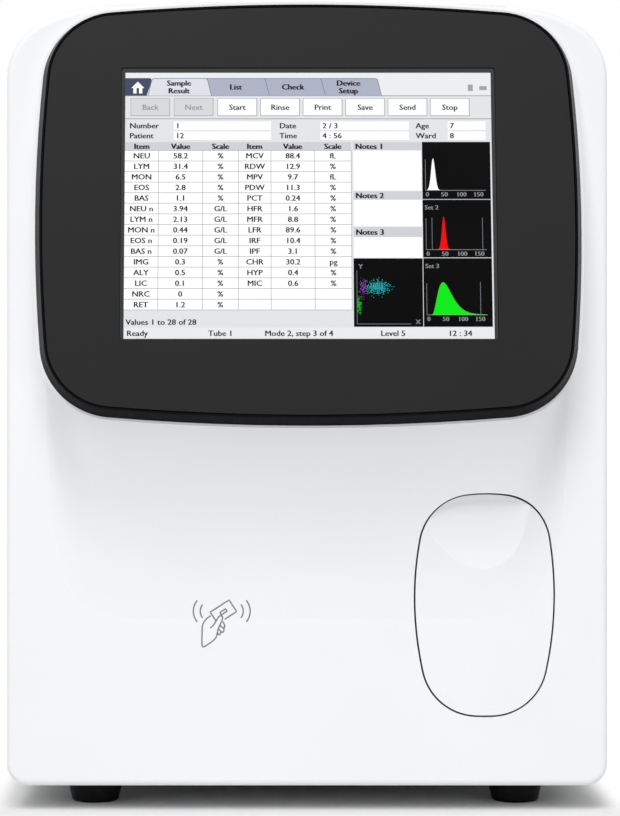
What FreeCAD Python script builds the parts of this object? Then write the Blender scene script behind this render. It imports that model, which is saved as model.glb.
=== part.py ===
import FreeCAD, Part
import math
import os

# Bench-top differential cell counter, in millimetres.
# X runs to the right, Y to the back and Z up. The origin is the bottom centre of
# the whole instrument, on the surface that it stands on, and the front faces -Y.

V = FreeCAD.Vector

# Whole cabinet
width = 364.0
depth = 431.0
height = 492.0
foot_height = 16.0
cover_wall = 2.5
front_wall = 3.0
front_cover_depth = 30.0
front_edge_radius = 4.0
crown_turn = 2.61
shoulder_turn = 23.6
shoulder_radius = 99.8
corner_radius = 37.8
bottom_radius = 13.0
least_radius = 1.0
parallel_share = 0.999
right_angle = 90.0
full_turn = 360.0
nut_sides = 6
round_end_share = 0.98
cover_joint = 0.5
top_cover_drop = 54.0
cut_over = 20.0
seat_gap = 0.3
running_gap = 0.05

# Display pod, which leans back with its top edge
lean = 9.0
pod_side_margin = 19.3
pod_foot_z = 234.57
pod_corner_radius = 45.0
pod_end_turn = 4.77
pod_side_turn = 5.15
pod_top_margin = 3.3
pod_top_stand = 4.0
pod_thickness = 10.0
pod_bevel = 3.3
ridge_width = 1.2
groove_width = 0.6
fascia_thickness = 3.0
fascia_drop = 0.3
lip_width = 1.5
pod_flange = 6.0

# Screen
screen_side_margin = 51.2
screen_top_margin = 42.4
screen_bottom_margin = 49.6
screen_corner_radius = 1.5
glass_thickness = 1.8
glass_drop = 1.0
lcd_thickness = 7.0
lcd_border = 7.0
board_thickness = 1.6
display_post_radius = 3.0
display_post_length = 8.0
display_board_width = 150.0
display_board_height = 96.0
display_chip_width = 24.0
display_chip_height = 3.0

# Cove that blends the pod's lower lip into the flat front
cove_bottom = 104.0
cove_margin = 4.0
cove_seat = 0.9
cove_dip = 0.4
cove_power = 2.3
cove_fade_top = 12.0
cove_fade_bottom = 60.0
cove_columns = 25
cove_rows = 10
cove_degree = 3

# Sample door and its finger dish
door_side_margin = 74.7
door_width = 84.6
door_height = 135.2
door_bottom = 58.3
door_widest_below_top = 62.0
door_top_corner_radius = 32.0
door_top_end_turn = 7.0
door_top_side_turn = 9.5
door_foot_corner_radius = 34.0
door_foot_end_turn = 2.0
door_foot_side_turn = 12.5
door_gap = 1.1
door_wall = 3.0
door_return = 1.8
dish_depth = 6.0
dish_length = 37.0
dish_from_top = 8.0
dish_wall = 2.4
hinge_rise = 34.0
hinge_behind = 6.0
hinge_pin_radius = 1.5
lug_width = 4.0
lug_radius = 3.2
lug_offset = 31.0
latch_width = 12.0
latch_height = 5.0
latch_reach = 7.0
latch_below_top = 20.0

# Sample compartment
liner_width = 90.0
liner_wall = 2.0
liner_floor = 54.6
liner_ceiling = 196.5
liner_depth = 64.0
liner_corner_radius = 6.0
liner_front_gap = 0.3
liner_foot_width = 16.0
liner_foot_depth = 30.0
magnet_radius = 4.0
magnet_length = 4.0

# Tube holder on the door
tube_behind = 45.0
tube_bore_radius = 6.8
holder_radius = 9.6
holder_rise = 1.0
holder_floor = 3.0
holder_bore_depth = 38.0
holder_shelf_thickness = 4.0
holder_shelf_width = 20.0
holder_flange_width = 30.0
holder_flange_height = 26.0
holder_flange_thickness = 2.5
holder_slot_width = 6.0
holder_screw_radius = 1.5
holder_screw_head_radius = 2.8
holder_screw_head = 1.8
holder_screw_spread = 11.0

# Chassis plate and base tray
tray_thickness = 1.5
tray_flange = 12.0
plate_behind_front = 100.0
plate_thickness = 3.0
plate_side_gap = 6.0
plate_top_gap = 22.0
plate_flange = 16.0
brace_side = 10.0
brace_inset = 34.0
rear_panel_thickness = 1.5
rear_panel_inset = 14.5
rear_flange = 11.0
rear_panel_gap = 0.3

# Feet and fasteners
foot_side_margin = 50.8
foot_front_behind = 51.0
foot_rear_before = 62.0
foot_bottom_radius = 14.2
foot_top_radius = 18.2
foot_bevel = 0.8
foot_recess_radius = 6.2
foot_recess_depth = 8.0
foot_screw_radius = 2.5
foot_screw_head_radius = 5.0
foot_screw_head = 3.0
foot_screw_above = 6.0
panel_screw_radius = 1.5
panel_screw_head_radius = 3.0
panel_screw_head = 1.8
panel_screw_length = 9.0
panel_screw_inset = 5.5
panel_top_screw_x = 45.5

# Probe gantry
probe_radius = 0.8
probe_up = 206.0
probe_head = 7.0
rod_radius = 4.0
rod_behind_probe = 31.0
lower_rod_z = 246.0
upper_rod_z = 304.0
rod_end_margin = 20.7
rod_motor_gap = 2.4
rod_block_width = 10.0
rod_block_margin = 9.0
screw_radius = 3.0
screw_neck = 2.0
carriage_width = 40.0
carriage_block_depth = 20.0
carriage_block_margin = 9.0
column_thickness = 8.0
column_gap = 5.0
bracket_thickness = 7.0
lower_bracket_z = 215.0
upper_bracket_drop = 118.0
lift_offset = 13.0
lift_behind_probe = 7.0
lift_rod_radius = 3.0
lift_screw_radius = 2.5
arm_drop = 44.0
arm_height = 15.0
arm_front = 7.0
wash_side = 14.0
wash_height = 11.0
wash_bore_radius = 1.3
probe_hole_radius = 2.5
liner_hole_radius = 6.0
motor_side = 28.0
motor_length = 32.0
motor_chamfer = 3.0
cap_radius = 2.6
cap_height = 5.0

# Counting baths
bath_radius_share = 0.139
bath_wall = 2.0
bath_top = 172.0
bath_floor = 92.0
bath_funnel = 16.0
bath_spout_radius = 3.0
bath_spout_length = 9.0
bath_gap_share = 0.204
bath_end_margin = 8.3
bath_arm_height = 8.0
bath_arm_z = 146.0
bath_arm_ring = 4.0
aperture_radius = 5.0
aperture_length = 8.0
aperture_z = 118.0

# Syringe drive
syringe_side_margin = 35.0
syringe_pitch = 30.0
syringe_front = 26.0
barrel_radius = 8.0
barrel_wall = 1.6
barrel_drop = 192.0
barrel_length = 74.0
barrel_tip_radius = 3.2
barrel_tip_length = 6.4
plunger_radius = 6.3
plunger_rod_radius = 2.5
plunger_head = 8.0
plunger_travel = 40.0
plunger_top_gap = 6.0
yoke_drop = 86.0
yoke_height = 8.0
yoke_depth = 16.0
yoke_width = 46.0
syringe_plate_thickness = 4.0
syringe_plate_width = 52.0
syringe_plate_below_shelf = 42.0
syringe_plate_above_barrels = 18.0
syringe_clamp_height = 7.0
syringe_screw_radius = 3.0
syringe_motor_side = 28.0
syringe_motor_length = 34.0
syringe_shelf_drop = 116.0
syringe_shelf_thickness = 5.0

# Optical bench behind the chassis plate
bench_z = 262.0
bench_thickness = 8.0
bench_width = 190.0
bench_depth = 92.0
bench_x = 30.0
bench_foot = 12.0
laser_radius = 9.0
laser_length = 58.0
laser_axis_rise = 22.0
laser_left = -58.0
cradle_width = 14.0
cradle_depth = 27.0
cradle_inset = 7.0
cell_side = 24.0
cell_height = 44.0
cell_x = 36.0
cell_bore_radius = 3.0
detector_x = 96.0
detector_width = 3.0
detector_height = 46.0
detector_depth = 50.0
detector_can_radius = 6.0
detector_can_length = 6.0

# Circuit boards and power
main_board_width = 240.0
main_board_top_gap = 34.0
main_board_z = 330.0
main_board_x = 0.0
board_post_radius = 3.0
board_post_length = 8.0
board_post_inset = 8.0
chip_side = 28.0
chip_height = 3.0
connector_width = 36.0
connector_height = 9.0
connector_depth = 11.0
supply_depth = 130.0
supply_height = 41.0
supply_side_gap = 61.0
supply_pump_gap = 9.0
supply_rear_gap = 35.0
supply_lid = 1.5
supply_slot_width = 3.0
supply_slot_length = 60.0
supply_slot_pitch = 12.0
supply_slot_count = 6
card_board_side_margin = 130.3
card_board_z = 114.0
card_board_width = 56.0
card_board_height = 46.0
card_post_length = 4.0
card_post_radius = 2.5
card_post_inset = 6.0
coil_width = 1.5
coil_height = 0.6
coil_inset = 9.0

# Rear panel fittings
fan_side = 92.0
fan_depth = 25.0
fan_side_margin = 94.0
fan_drop = 144.0
fan_bore_radius = 43.5
fan_corner_radius = 4.0
fan_wall = 2.0
fan_hub_radius = 18.0
fan_blade_radius = 41.0
fan_blade_count = 7
fan_blade_thickness = 1.6
fan_blade_depth = 14.0
fan_blade_twist = 38.0
fan_strut_width = 5.0
fan_strut_depth = 4.0
fan_axle_radius = 2.0
fan_hub_depth = 15.0
guard_ring_count = 4
guard_wire = 1.6
guard_strut_width = 3.0
guard_lug_radius = 5.0
fan_hole_pitch = 82.5
fan_hole_radius = 2.15
fan_screw_radius = 1.75
fan_screw_head_radius = 3.2
fan_screw_head = 1.8
inlet_side_margin = 64.0
inlet_z = 78.0
inlet_width = 27.0
inlet_height = 20.0
inlet_flange_width = 50.0
inlet_flange_height = 23.0
inlet_flange_thickness = 3.0
inlet_body_depth = 18.0
inlet_well_width = 24.2
inlet_well_height = 16.6
inlet_well_depth = 15.0
inlet_well_radius = 3.0
inlet_pin_width = 2.0
inlet_pin_height = 4.0
inlet_pin_pitch = 7.0
inlet_pin_below_rim = 5.2
switch_z = 118.0
switch_width = 19.0
switch_height = 13.0
switch_flange = 2.0
switch_flange_thickness = 2.0
switch_body_depth = 14.0
rocker_width = 13.0
rocker_height = 9.6
rocker_stand = 2.2
rocker_depth = 7.0
rocker_tilt = 7.0
rocker_pin_radius = 1.0
port_side_margin = 70.0
port_z = 92.0
port_pitch = 24.0
port_count = 4
port_barb_radius = 2.5
port_bore_radius = 1.4
port_hex_radius = 6.5
port_hex_length = 4.0
port_inner_length = 10.0
port_thread_radius = 4.0
barb_step = 0.6
barb_length = 3.2
data_x = -12.0
data_z = 200.0
usb_width = 14.4
usb_height = 14.6
usb_tongue = 1.8
usb_wall = 0.8
usb_depth = 17.0
usb_pitch = 24.0
usb_count = 3
usb_well_depth = 13.6
net_width = 16.0
net_height = 14.0
net_wall = 1.6
net_floor = 2.4
port_stand = 1.2
stud_x = 54.0
stud_z = 78.0
stud_radius = 3.0
stud_nut_radius = 6.0
stud_nut_height = 4.0
stud_length = 12.0
vent_count = 7
vent_length = 60.0
vent_width = 4.0
vent_pitch = 11.0
vent_x = 66.0
vent_drop = 140.0

# Side cover louvres
louvre_count = 7
louvre_length = 74.0
louvre_width = 4.0
louvre_pitch = 12.0
louvre_from_rear = 56.0
louvre_low_z = 120.0

# Valves, pump and bottles
manifold_x = 6.0
manifold_z = 150.0
manifold_width = 176.0
manifold_height = 30.0
manifold_depth = 20.0
valve_count = 6
valve_side = 20.0
valve_length = 34.0
valve_pitch = 28.0
valve_spade = 6.0
pump_offset = 8.0
pump_behind_plate = 96.0
pump_motor_radius = 16.0
pump_motor_length = 52.0
pump_head_side = 44.0
pump_head_depth = 30.0
pump_foot_thickness = 3.0
pump_port_radius = 2.5
pump_port_length = 9.0
pump_port_offset = 11.0
waste_offset = 70.0
waste_before_panel = 108.4
waste_radius = 34.0
waste_height = 96.0
waste_cap_radius = 24.0
waste_cap_height = 10.0
waste_shoulder = 12.0
heater_side_margin = 48.0
heater_behind_plate = 60.0
heater_radius = 22.0
heater_height = 110.0
heater_base = 4.0
heater_port_radius = 3.0
heater_port_length = 10.0

# Worked out from the sizes above
half_width = width / 2
pod_width = width - 2 * pod_side_margin
screen_width = pod_width - 2 * screen_side_margin
door_x = half_width - door_side_margin
foot_x = half_width - foot_side_margin
syringe_x = syringe_side_margin - half_width
pump_x = -pump_offset
waste_x = -waste_offset
supply_left = pump_x + pump_head_side / 2 + supply_pump_gap
supply_width = half_width - supply_side_gap - supply_left
supply_x = supply_left + supply_width / 2
card_board_x = card_board_side_margin - half_width
fan_x = fan_side_margin - half_width
inlet_x = half_width - inlet_side_margin
port_x = port_side_margin - half_width
heater_x = heater_side_margin - half_width
rod_left = syringe_x + syringe_plate_width / 2 + rod_motor_gap + motor_length + 2 * seat_gap + rod_block_width
rod_right = door_x + carriage_width / 2 + rod_end_margin
bath_x = rod_left + carriage_width / 2 + bath_end_margin
bath_room = door_x - liner_width / 2 - liner_wall - bath_x
bath_radius = bath_room * bath_radius_share
bath_pitch = 2 * bath_radius + bath_room * bath_gap_share
upper_bracket_z = height - upper_bracket_drop
arm_bottom = upper_bracket_z - arm_drop
probe_top = arm_bottom + arm_height + probe_head
barrel_bottom = height - barrel_drop
yoke_z = barrel_bottom - yoke_drop
syringe_shelf_z = barrel_bottom - syringe_shelf_drop
syringe_plate_bottom = syringe_shelf_z - syringe_plate_below_shelf
syringe_plate_top = barrel_bottom + barrel_length + syringe_plate_above_barrels
main_board_height = height - main_board_top_gap - main_board_z
fan_z = height - fan_drop
vent_z = height - vent_drop
lean_sine = math.sin(math.radians(lean))
lean_cosine = math.cos(math.radians(lean))
pod_height = (height - pod_top_margin - pod_foot_z) / lean_cosine
screen_height = pod_height - screen_top_margin - screen_bottom_margin
pod_reach = pod_top_stand + (pod_height - pod_bevel) * lean_sine + pod_thickness * lean_cosine
front_y = pod_reach - depth / 2
parting_y = front_y + front_cover_depth
rear_y = depth / 2 - rear_panel_inset
panel_inner_y = rear_y - rear_panel_thickness
tray_top = foot_height + tray_thickness
plate_y = front_y + plate_behind_front
plate_rear_y = plate_y + plate_thickness
split_z = height - top_cover_drop
pod_centre = V(0, front_y - pod_top_stand - pod_height / 2 * lean_sine,
               height - pod_top_margin - pod_height / 2 * lean_cosine)
pod_up = V(0, lean_sine, lean_cosine)
pod_out = V(0, -lean_cosine, lean_sine)
hinge_y = front_y + hinge_behind
hinge_z = door_bottom + hinge_rise
probe_y = front_y + tube_behind
rod_y = probe_y + rod_behind_probe
lift_y = probe_y + lift_behind_probe
column_front_y = lift_y + lift_rod_radius + column_gap - seat_gap
screw_z = (lower_rod_z + upper_rod_z) / 2


def block(x0, x1, y0, y1, z0, z1):
    """A box between two corners."""
    return Part.makeBox(x1 - x0, y1 - y0, z1 - z0, V(x0, y0, z0))


def centred_block(x, y0, y1, z, wide, high):
    """A box centred on x and z that runs from y0 to y1."""
    return block(x - wide / 2, x + wide / 2, y0, y1, z - high / 2, z + high / 2)


def rod(start, axis, radius, length):
    """A cylinder."""
    return Part.makeCylinder(radius, length, start, axis)


def upright(x, y, z0, z1, radius):
    """A vertical cylinder from z0 to z1."""
    return rod(V(x, y, z0), V(0, 0, 1), radius, z1 - z0)


def join(first, *others):
    """One solid of several, without seams."""
    whole = first
    for other in others:
        whole = whole.fuse(other)
    return whole.removeSplitter()


def soften(solid, radius, axis):
    """Round the edges of a solid that run along one axis."""
    edges = []
    for edge in solid.Edges:
        if edge.Curve.TypeId == "Part::GeomLine" and abs(edge.Curve.Direction.dot(axis)) > parallel_share:
            edges.append(edge)
    return solid.makeFillet(radius, edges)


def save(name, *solids):
    """Write one node. Several solids stay separate in it."""
    shape = solids[0] if len(solids) == 1 else Part.makeCompound(list(solids))
    count = len(shape.Solids)
    print("%-26s solids %2d  volume %10.1f  valid %s" % (name, count, shape.Volume, shape.isValid()))
    shape.exportStep("parts/%s.step" % name)


def arc_edge(place, centre, radius, start, end):
    """An arc between two angles, measured clockwise from straight up."""
    points = []
    for angle in (start, (start + end) / 2, end):
        points.append(place(centre[0] + radius * math.sin(angle), centre[1] + radius * math.cos(angle)))
    return Part.Arc(*points).toShape()


def line_edge(place, first, second):
    return Part.makeLine(place(*first), place(*second))


def upright_plane(y):
    """Put outline points on the plane across the cabinet at y."""
    return lambda u, v: V(u, y, v)


def pod_point(u, v, out):
    """A point of the leaning pod: across, up its face, and out of its base plane."""
    return pod_centre + V(u, 0, 0) + pod_up * v + pod_out * out


def pod_plane(out):
    """Put outline points on a plane of the pod."""
    return lambda u, v: pod_point(u, v, out)


def bulged_radii(half_w, half_h, corner, end_turn, side_turn):
    """Radii of the end and side arcs that run tangent into the corner arcs."""
    first = math.radians(end_turn)
    last = math.pi / 2 - math.radians(side_turn)
    s1, c1, s2, c2 = math.sin(first), math.cos(first), math.sin(last), math.cos(last)
    rest_w = half_w - corner * (s2 - s1)
    rest_h = half_h - corner * (c1 - c2)
    scale = s1 * c2 - (1 - s2) * (1 - c1)
    end_radius = (rest_w * c2 - rest_h * (1 - s2)) / scale
    side_radius = (s1 * rest_h - (1 - c1) * rest_w) / scale
    return end_radius, side_radius, first, last


def bulged_half(half_w, half):
    """Centres and radii of the end, corner and side arcs of an outline's upper half."""
    half_h, corner, end_turn, side_turn = half
    end_radius, side_radius, first, last = bulged_radii(half_w, half_h, corner, end_turn, side_turn)
    corner_u = (end_radius - corner) * math.sin(first)
    corner_v = half_h - end_radius + (end_radius - corner) * math.cos(first)
    end = ((0, half_h - end_radius), end_radius)
    side = ((half_w - side_radius, 0), side_radius)
    return end, ((corner_u, corner_v), corner), side, first, last


def bulged_face(half_w, upper, lower, inset, place):
    """A rounded outline whose sides bulge, drawn with tangent arcs from its top round to the right.

    Its upper and lower half each have a height, a corner radius and the turns of their end
    and side arcs. They meet where the outline is widest.
    """
    end, corner, side, first, last = bulged_half(half_w, upper)
    low_end, low_corner, low_side, low_first, low_last = bulged_half(half_w, lower)
    turn = math.pi
    arcs = [
        (end, 1, 1, -first, first),
        (corner, 1, 1, first, last),
        (side, 1, 1, last, turn / 2),
        (low_side, 1, -1, turn / 2, turn - low_last),
        (low_corner, 1, -1, turn - low_last, turn - low_first),
        (low_end, 1, -1, turn - low_first, turn + low_first),
        (low_corner, -1, -1, turn + low_first, turn + low_last),
        (low_side, -1, -1, turn + low_last, turn + turn / 2),
        (side, -1, 1, turn + turn / 2, 2 * turn - last),
        (corner, -1, 1, 2 * turn - last, 2 * turn - first),
    ]
    edges = []
    for (centre, radius), sign_u, sign_v, start, stop in arcs:
        middle = (sign_u * centre[0], sign_v * centre[1])
        edges.append(arc_edge(place, middle, radius - inset, start, stop))
    return Part.Face(Part.Wire(edges))


def pod_face(inset, out):
    """The pod's outline on one of its planes."""
    half = (pod_height / 2, pod_corner_radius, pod_end_turn, pod_side_turn)
    return bulged_face(pod_width / 2, half, half, inset, pod_plane(out))


def door_face(inset, y):
    """The door's outline on a plane across the cabinet."""
    upper = (door_widest_below_top, door_top_corner_radius, door_top_end_turn, door_top_side_turn)
    lower = (door_height - door_widest_below_top, door_foot_corner_radius, door_foot_end_turn,
             door_foot_side_turn)
    widest_z = door_bottom + door_height - door_widest_below_top
    place = lambda u, v: V(door_x + u, y, widest_z + v)
    return bulged_face(door_width / 2, upper, lower, inset, place)


def pod_lower_edge(u):
    """How far below its centre the pod's outline lies at a place across it."""
    half_w, half_h = pod_width / 2, pod_height / 2
    end_radius, side_radius, first, last = bulged_radii(half_w, half_h, pod_corner_radius,
                                                        pod_end_turn, pod_side_turn)
    across = abs(u)
    corner_u = (end_radius - pod_corner_radius) * math.sin(first)
    corner_v = half_h - end_radius + (end_radius - pod_corner_radius) * math.cos(first)
    if across < end_radius * math.sin(first):
        return half_h - end_radius + math.sqrt(end_radius ** 2 - across ** 2)
    if across < corner_u + pod_corner_radius * math.sin(last):
        return corner_v + math.sqrt(pod_corner_radius ** 2 - (across - corner_u) ** 2)
    return math.sqrt(side_radius ** 2 - (across - half_w + side_radius) ** 2)


def cabinet_face(inset, y):
    """The cabinet's front outline: a crowned top, round shoulders, straight sides."""
    crown = math.radians(crown_turn)
    shoulder = math.radians(crown_turn + shoulder_turn)
    shoulder_part = shoulder_radius * (math.sin(shoulder) - math.sin(crown))
    corner_part = corner_radius * (1 - math.sin(shoulder))
    crown_radius = (half_width - shoulder_part - corner_part) / math.sin(crown)
    crown_v = height - crown_radius
    shoulder_u = (crown_radius - shoulder_radius) * math.sin(crown)
    shoulder_v = crown_v + (crown_radius - shoulder_radius) * math.cos(crown)
    corner_u = shoulder_u + (shoulder_radius - corner_radius) * math.sin(shoulder)
    corner_v = shoulder_v + (shoulder_radius - corner_radius) * math.cos(shoulder)
    low = max(bottom_radius - inset, least_radius)
    side = half_width - inset
    floor = foot_height + inset
    low_u, low_v = side - low, floor + low
    turn = math.pi
    place = upright_plane(y)
    edges = [
        arc_edge(place, (0, crown_v), crown_radius - inset, -crown, crown),
        arc_edge(place, (shoulder_u, shoulder_v), shoulder_radius - inset, crown, shoulder),
        arc_edge(place, (corner_u, corner_v), corner_radius - inset, shoulder, turn / 2),
        line_edge(place, (side, corner_v), (side, low_v)),
        arc_edge(place, (low_u, low_v), low, turn / 2, turn),
        line_edge(place, (low_u, floor), (-low_u, floor)),
        arc_edge(place, (-low_u, low_v), low, turn, 3 * turn / 2),
        line_edge(place, (-side, low_v), (-side, corner_v)),
        arc_edge(place, (-corner_u, corner_v), corner_radius - inset, 3 * turn / 2, 2 * turn - shoulder),
        arc_edge(place, (-shoulder_u, shoulder_v), shoulder_radius - inset, 2 * turn - shoulder,
                 2 * turn - crown),
    ]
    return Part.Face(Part.Wire(edges))


def cabinet_block(inset, y0, y1):
    """The cabinet's outline, inset, extruded from y0 to y1."""
    return cabinet_face(inset, y0).extrude(V(0, y1 - y0, 0))


def clamped_knots(count, degree):
    """Even knots for a spline that ends on its first and last poles."""
    inner = count - degree
    knots = [index / inner for index in range(inner + 1)]
    mults = [degree + 1] + [1] * (inner - 1) + [degree + 1]
    return knots, mults


def cove_surface(inset):
    """The sweep from the pod's lower lip back to the flat front.

    It stands out of the front by the lip's own height times a falling power of the
    way down, and fades to nothing towards both sides, more slowly lower down.
    """
    reach = pod_width / 2 - cove_margin - inset
    poles = []
    for column in range(cove_columns):
        x = reach * math.sin(math.pi / 2 * (2 * column / (cove_columns - 1) - 1))
        below = pod_lower_edge(x)
        top_z = pod_centre.z - below * lean_cosine + inset
        stand = pod_top_stand + (pod_height / 2 + below) * lean_sine - cove_seat
        line = []
        for row in range(cove_rows):
            share = row / (cove_rows - 1)
            fade_width = cove_fade_top + (cove_fade_bottom - cove_fade_top) * share
            fade = min((reach - abs(x)) / fade_width, 1)
            fade = fade * fade * (3 - 2 * fade)
            out = stand * (1 - share) ** cove_power * fade - cove_dip - inset
            line.append(V(x, front_y - out, top_z + (cove_bottom - top_z) * share))
        poles.append(line)
    across, across_mults = clamped_knots(cove_columns, cove_degree)
    down, down_mults = clamped_knots(cove_rows, cove_degree)
    surface = Part.BSplineSurface()
    surface.buildFromPolesMultsKnots(poles, across_mults, down_mults, across, down, False, False,
                                     cove_degree, cove_degree)
    return surface.toShape()


def front_block():
    """The front cover's outside, as one solid: rounded edge, pod seat and cove."""
    base = cabinet_block(0, front_y, parting_y)
    front_edges = []
    for edge in base.Edges:
        if abs(edge.BoundBox.YMax - front_y) < seat_gap and abs(edge.BoundBox.YMin - front_y) < seat_gap:
            front_edges.append(edge)
    base = base.makeFillet(front_edge_radius, front_edges)
    keep = block(-width, width, -depth, front_y + front_wall / 2, 0, 2 * height)
    seat = pod_face(-lip_width, 0).extrude(V(0, depth / 2, 0)).common(keep)
    cove = cove_surface(0).extrude(V(0, depth / 2, 0)).common(keep)
    return base.fuse(seat).fuse(cove)


def front_hollow():
    """What is cut from the front cover's outside to leave its wall."""
    inner = cabinet_block(front_wall, front_y + front_wall, parting_y + cut_over)
    behind_seat = pod_face(front_wall - lip_width, -front_wall).extrude(V(0, depth / 2, 0))
    window = pod_face(pod_flange, pod_bevel).extrude(V(0, depth / 2, 0))
    behind_cove = cove_surface(front_wall).extrude(V(0, depth / 2, 0))
    return inner.fuse(behind_seat).fuse(window).fuse(behind_cove)


def door_prism(inset, beyond):
    """The door's outline through the front wall and some way beyond it."""
    face = door_face(inset, -depth / 2)
    return face.extrude(V(0, front_y + front_wall + beyond + depth / 2, 0))


def make_front(shell):
    """The moulded front cover, with the door opening, its return and a rib at the foot."""
    opening = door_prism(-door_gap / 2, seat_gap)
    around = door_prism(-door_gap / 2 - door_return, 0).cut(opening).common(front_block())
    rib = block(-half_width + bottom_radius, half_width - bottom_radius, parting_y - tray_flange,
                parting_y, foot_height + front_wall, foot_height + 2 * front_wall)
    save("front_cover", shell.cut(opening).fuse(around).fuse(rib))


def cove_face_y(x, z):
    """Where the cove's face lies at a height, away from its faded sides."""
    top_z = pod_centre.z - pod_lower_edge(x) * lean_cosine
    share = (top_z - z) / (top_z - cove_bottom)
    stand = pod_top_stand + (pod_height / 2 + pod_lower_edge(x)) * lean_sine - cove_seat
    return front_y + cove_dip - stand * (1 - share) ** cove_power


def dish_ball(grow):
    """The ball that hollows the finger dish, from its deepest point and its lower rim."""
    deep_z = door_bottom + door_height - dish_from_top
    rim_z = deep_z - dish_length
    deep = V(door_x, cove_face_y(door_x, deep_z), deep_z)
    chord = V(door_x, cove_face_y(door_x, rim_z), rim_z) - deep
    radius = (chord.Length ** 2 + dish_depth ** 2) / (2 * dish_depth)
    outward = V(0, chord.z, -chord.y).normalize()
    return Part.makeSphere(radius + grow, deep + outward * (radius - dish_depth))


def make_door(shell):
    """The sample door: a piece of the front's own curve, a finger dish and two hinge lugs."""
    outline = door_prism(door_gap / 2, seat_gap)
    filled = front_block().common(outline)
    plate = shell.common(outline)
    dish_back = dish_ball(dish_wall).common(filled)
    door = plate.fuse(dish_back).cut(dish_ball(0))
    back_y = front_y + door_wall - least_radius
    for side in (-1, 1):
        x0 = door_x + side * lug_offset - lug_width / 2
        eye = rod(V(x0, hinge_y, hinge_z), V(1, 0, 0), lug_radius, lug_width)
        web = block(x0, x0 + lug_width, back_y, hinge_y, hinge_z - lug_radius, hinge_z + lug_radius)
        door = door.fuse(eye).fuse(web)
    for side in (-1, 1):
        x0 = door_x + side * lug_offset - lug_width / 2 - cut_over / 2
        pin = rod(V(x0, hinge_y, hinge_z), V(1, 0, 0), hinge_pin_radius + running_gap, lug_width + cut_over)
        door = door.cut(pin)
    catch_z = door_bottom + door_height - latch_below_top
    catch = block(door_x - latch_width / 2, door_x + latch_width / 2,
                  -depth / 2, front_y + latch_reach, catch_z - latch_height / 2,
                  catch_z + latch_height / 2)
    catch = catch.cut(dish_ball(dish_wall / 2)).common(filled)
    save("sample_door", door.fuse(catch).removeSplitter())


def make_hinge_pins():
    """The two pins in the compartment's side walls that carry the door."""
    pins = []
    reach = liner_width / 2 + liner_wall
    inner = lug_offset - lug_width / 2 - seat_gap
    for side in (-1, 1):
        start = min(side * inner, side * reach)
        pins.append(rod(V(door_x + start, hinge_y, hinge_z), V(1, 0, 0), hinge_pin_radius, reach - inner))
    save("door_hinge_pins", *pins)


def make_liner(hollow):
    """The moulded compartment behind the door, open to the front, with two feet."""
    y0 = -depth / 2
    y1 = front_y + liner_depth
    half = liner_width / 2
    outer = block(door_x - half - liner_wall, door_x + half + liner_wall, y0, y1,
                  liner_floor - liner_wall, liner_ceiling + liner_wall)
    outer = soften(outer, liner_corner_radius, V(0, 1, 0))
    inner = block(door_x - half, door_x + half, y0 - cut_over, y1 - liner_wall,
                  liner_floor, liner_ceiling)
    inner = soften(inner, liner_corner_radius - liner_wall, V(0, 1, 0))
    room = hollow.copy()
    room.translate(V(0, liner_front_gap, 0))
    liner = outer.cut(inner).common(room)
    for side in (-1, 1):
        x = door_x + side * (half - liner_foot_width)
        liner = liner.fuse(block(x - liner_wall, x + liner_wall, y1 - liner_foot_depth, y1,
                                 tray_top, liner_floor - liner_wall / 2))
    liner = liner.cut(upright(door_x, probe_y, liner_ceiling - cut_over,
                              liner_ceiling + cut_over, liner_hole_radius))
    reach = liner_width + 2 * cut_over
    liner = liner.cut(rod(V(door_x - reach / 2, hinge_y, hinge_z), V(1, 0, 0),
                          hinge_pin_radius + running_gap, reach))
    save("compartment_liner", liner.removeSplitter())


def make_door_magnet():
    """The magnet that holds the door shut, in a clip on the compartment's ceiling."""
    catch_z = door_bottom + door_height - latch_below_top
    y0 = front_y + latch_reach + seat_gap
    magnet = block(door_x - latch_width / 2, door_x + latch_width / 2, y0, y0 + magnet_length,
                   catch_z - magnet_radius, liner_ceiling - seat_gap)
    save("door_magnet", soften(magnet, least_radius, V(0, 1, 0)))


def make_tube_holder():
    """The tube's cup on a shelf that is screwed to the back of the door."""
    bottom = hinge_z + holder_rise
    floor = bottom + holder_floor
    top = floor + holder_bore_depth
    back_y = front_y + door_wall
    cup = upright(door_x, probe_y, bottom, top, holder_radius)
    shelf = block(door_x - holder_shelf_width / 2, door_x + holder_shelf_width / 2,
                  back_y, probe_y, bottom, bottom + holder_shelf_thickness)
    web = block(door_x - holder_shelf_thickness / 2, door_x + holder_shelf_thickness / 2,
                back_y, probe_y, bottom, bottom + holder_flange_height)
    flange = block(door_x - holder_flange_width / 2, door_x + holder_flange_width / 2,
                   back_y, back_y + holder_flange_thickness, bottom, bottom + holder_flange_height)
    holder = join(cup, shelf, web, flange)
    holder = holder.cut(upright(door_x, probe_y, floor, top + cut_over, tube_bore_radius))
    slot = block(door_x - holder_slot_width / 2, door_x + holder_slot_width / 2,
                 probe_y, probe_y + cut_over, floor + holder_floor, top + cut_over)
    holder = holder.cut(slot)
    screws = []
    z = bottom + holder_flange_height - holder_screw_head_radius - least_radius
    for side in (-1, 1):
        x = door_x + side * holder_screw_spread
        face_y = back_y + holder_flange_thickness
        hole = rod(V(x, back_y - cut_over / 2, z), V(0, 1, 0), holder_screw_radius + seat_gap, cut_over)
        holder = holder.cut(hole)
        head = rod(V(x, face_y, z), V(0, 1, 0), holder_screw_head_radius, holder_screw_head)
        shank = rod(V(x, back_y, z), V(0, 1, 0), holder_screw_radius, holder_flange_thickness)
        screws.append(join(head, shank))
    save("tube_holder", holder)
    save("tube_holder_screws", *screws)


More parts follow.
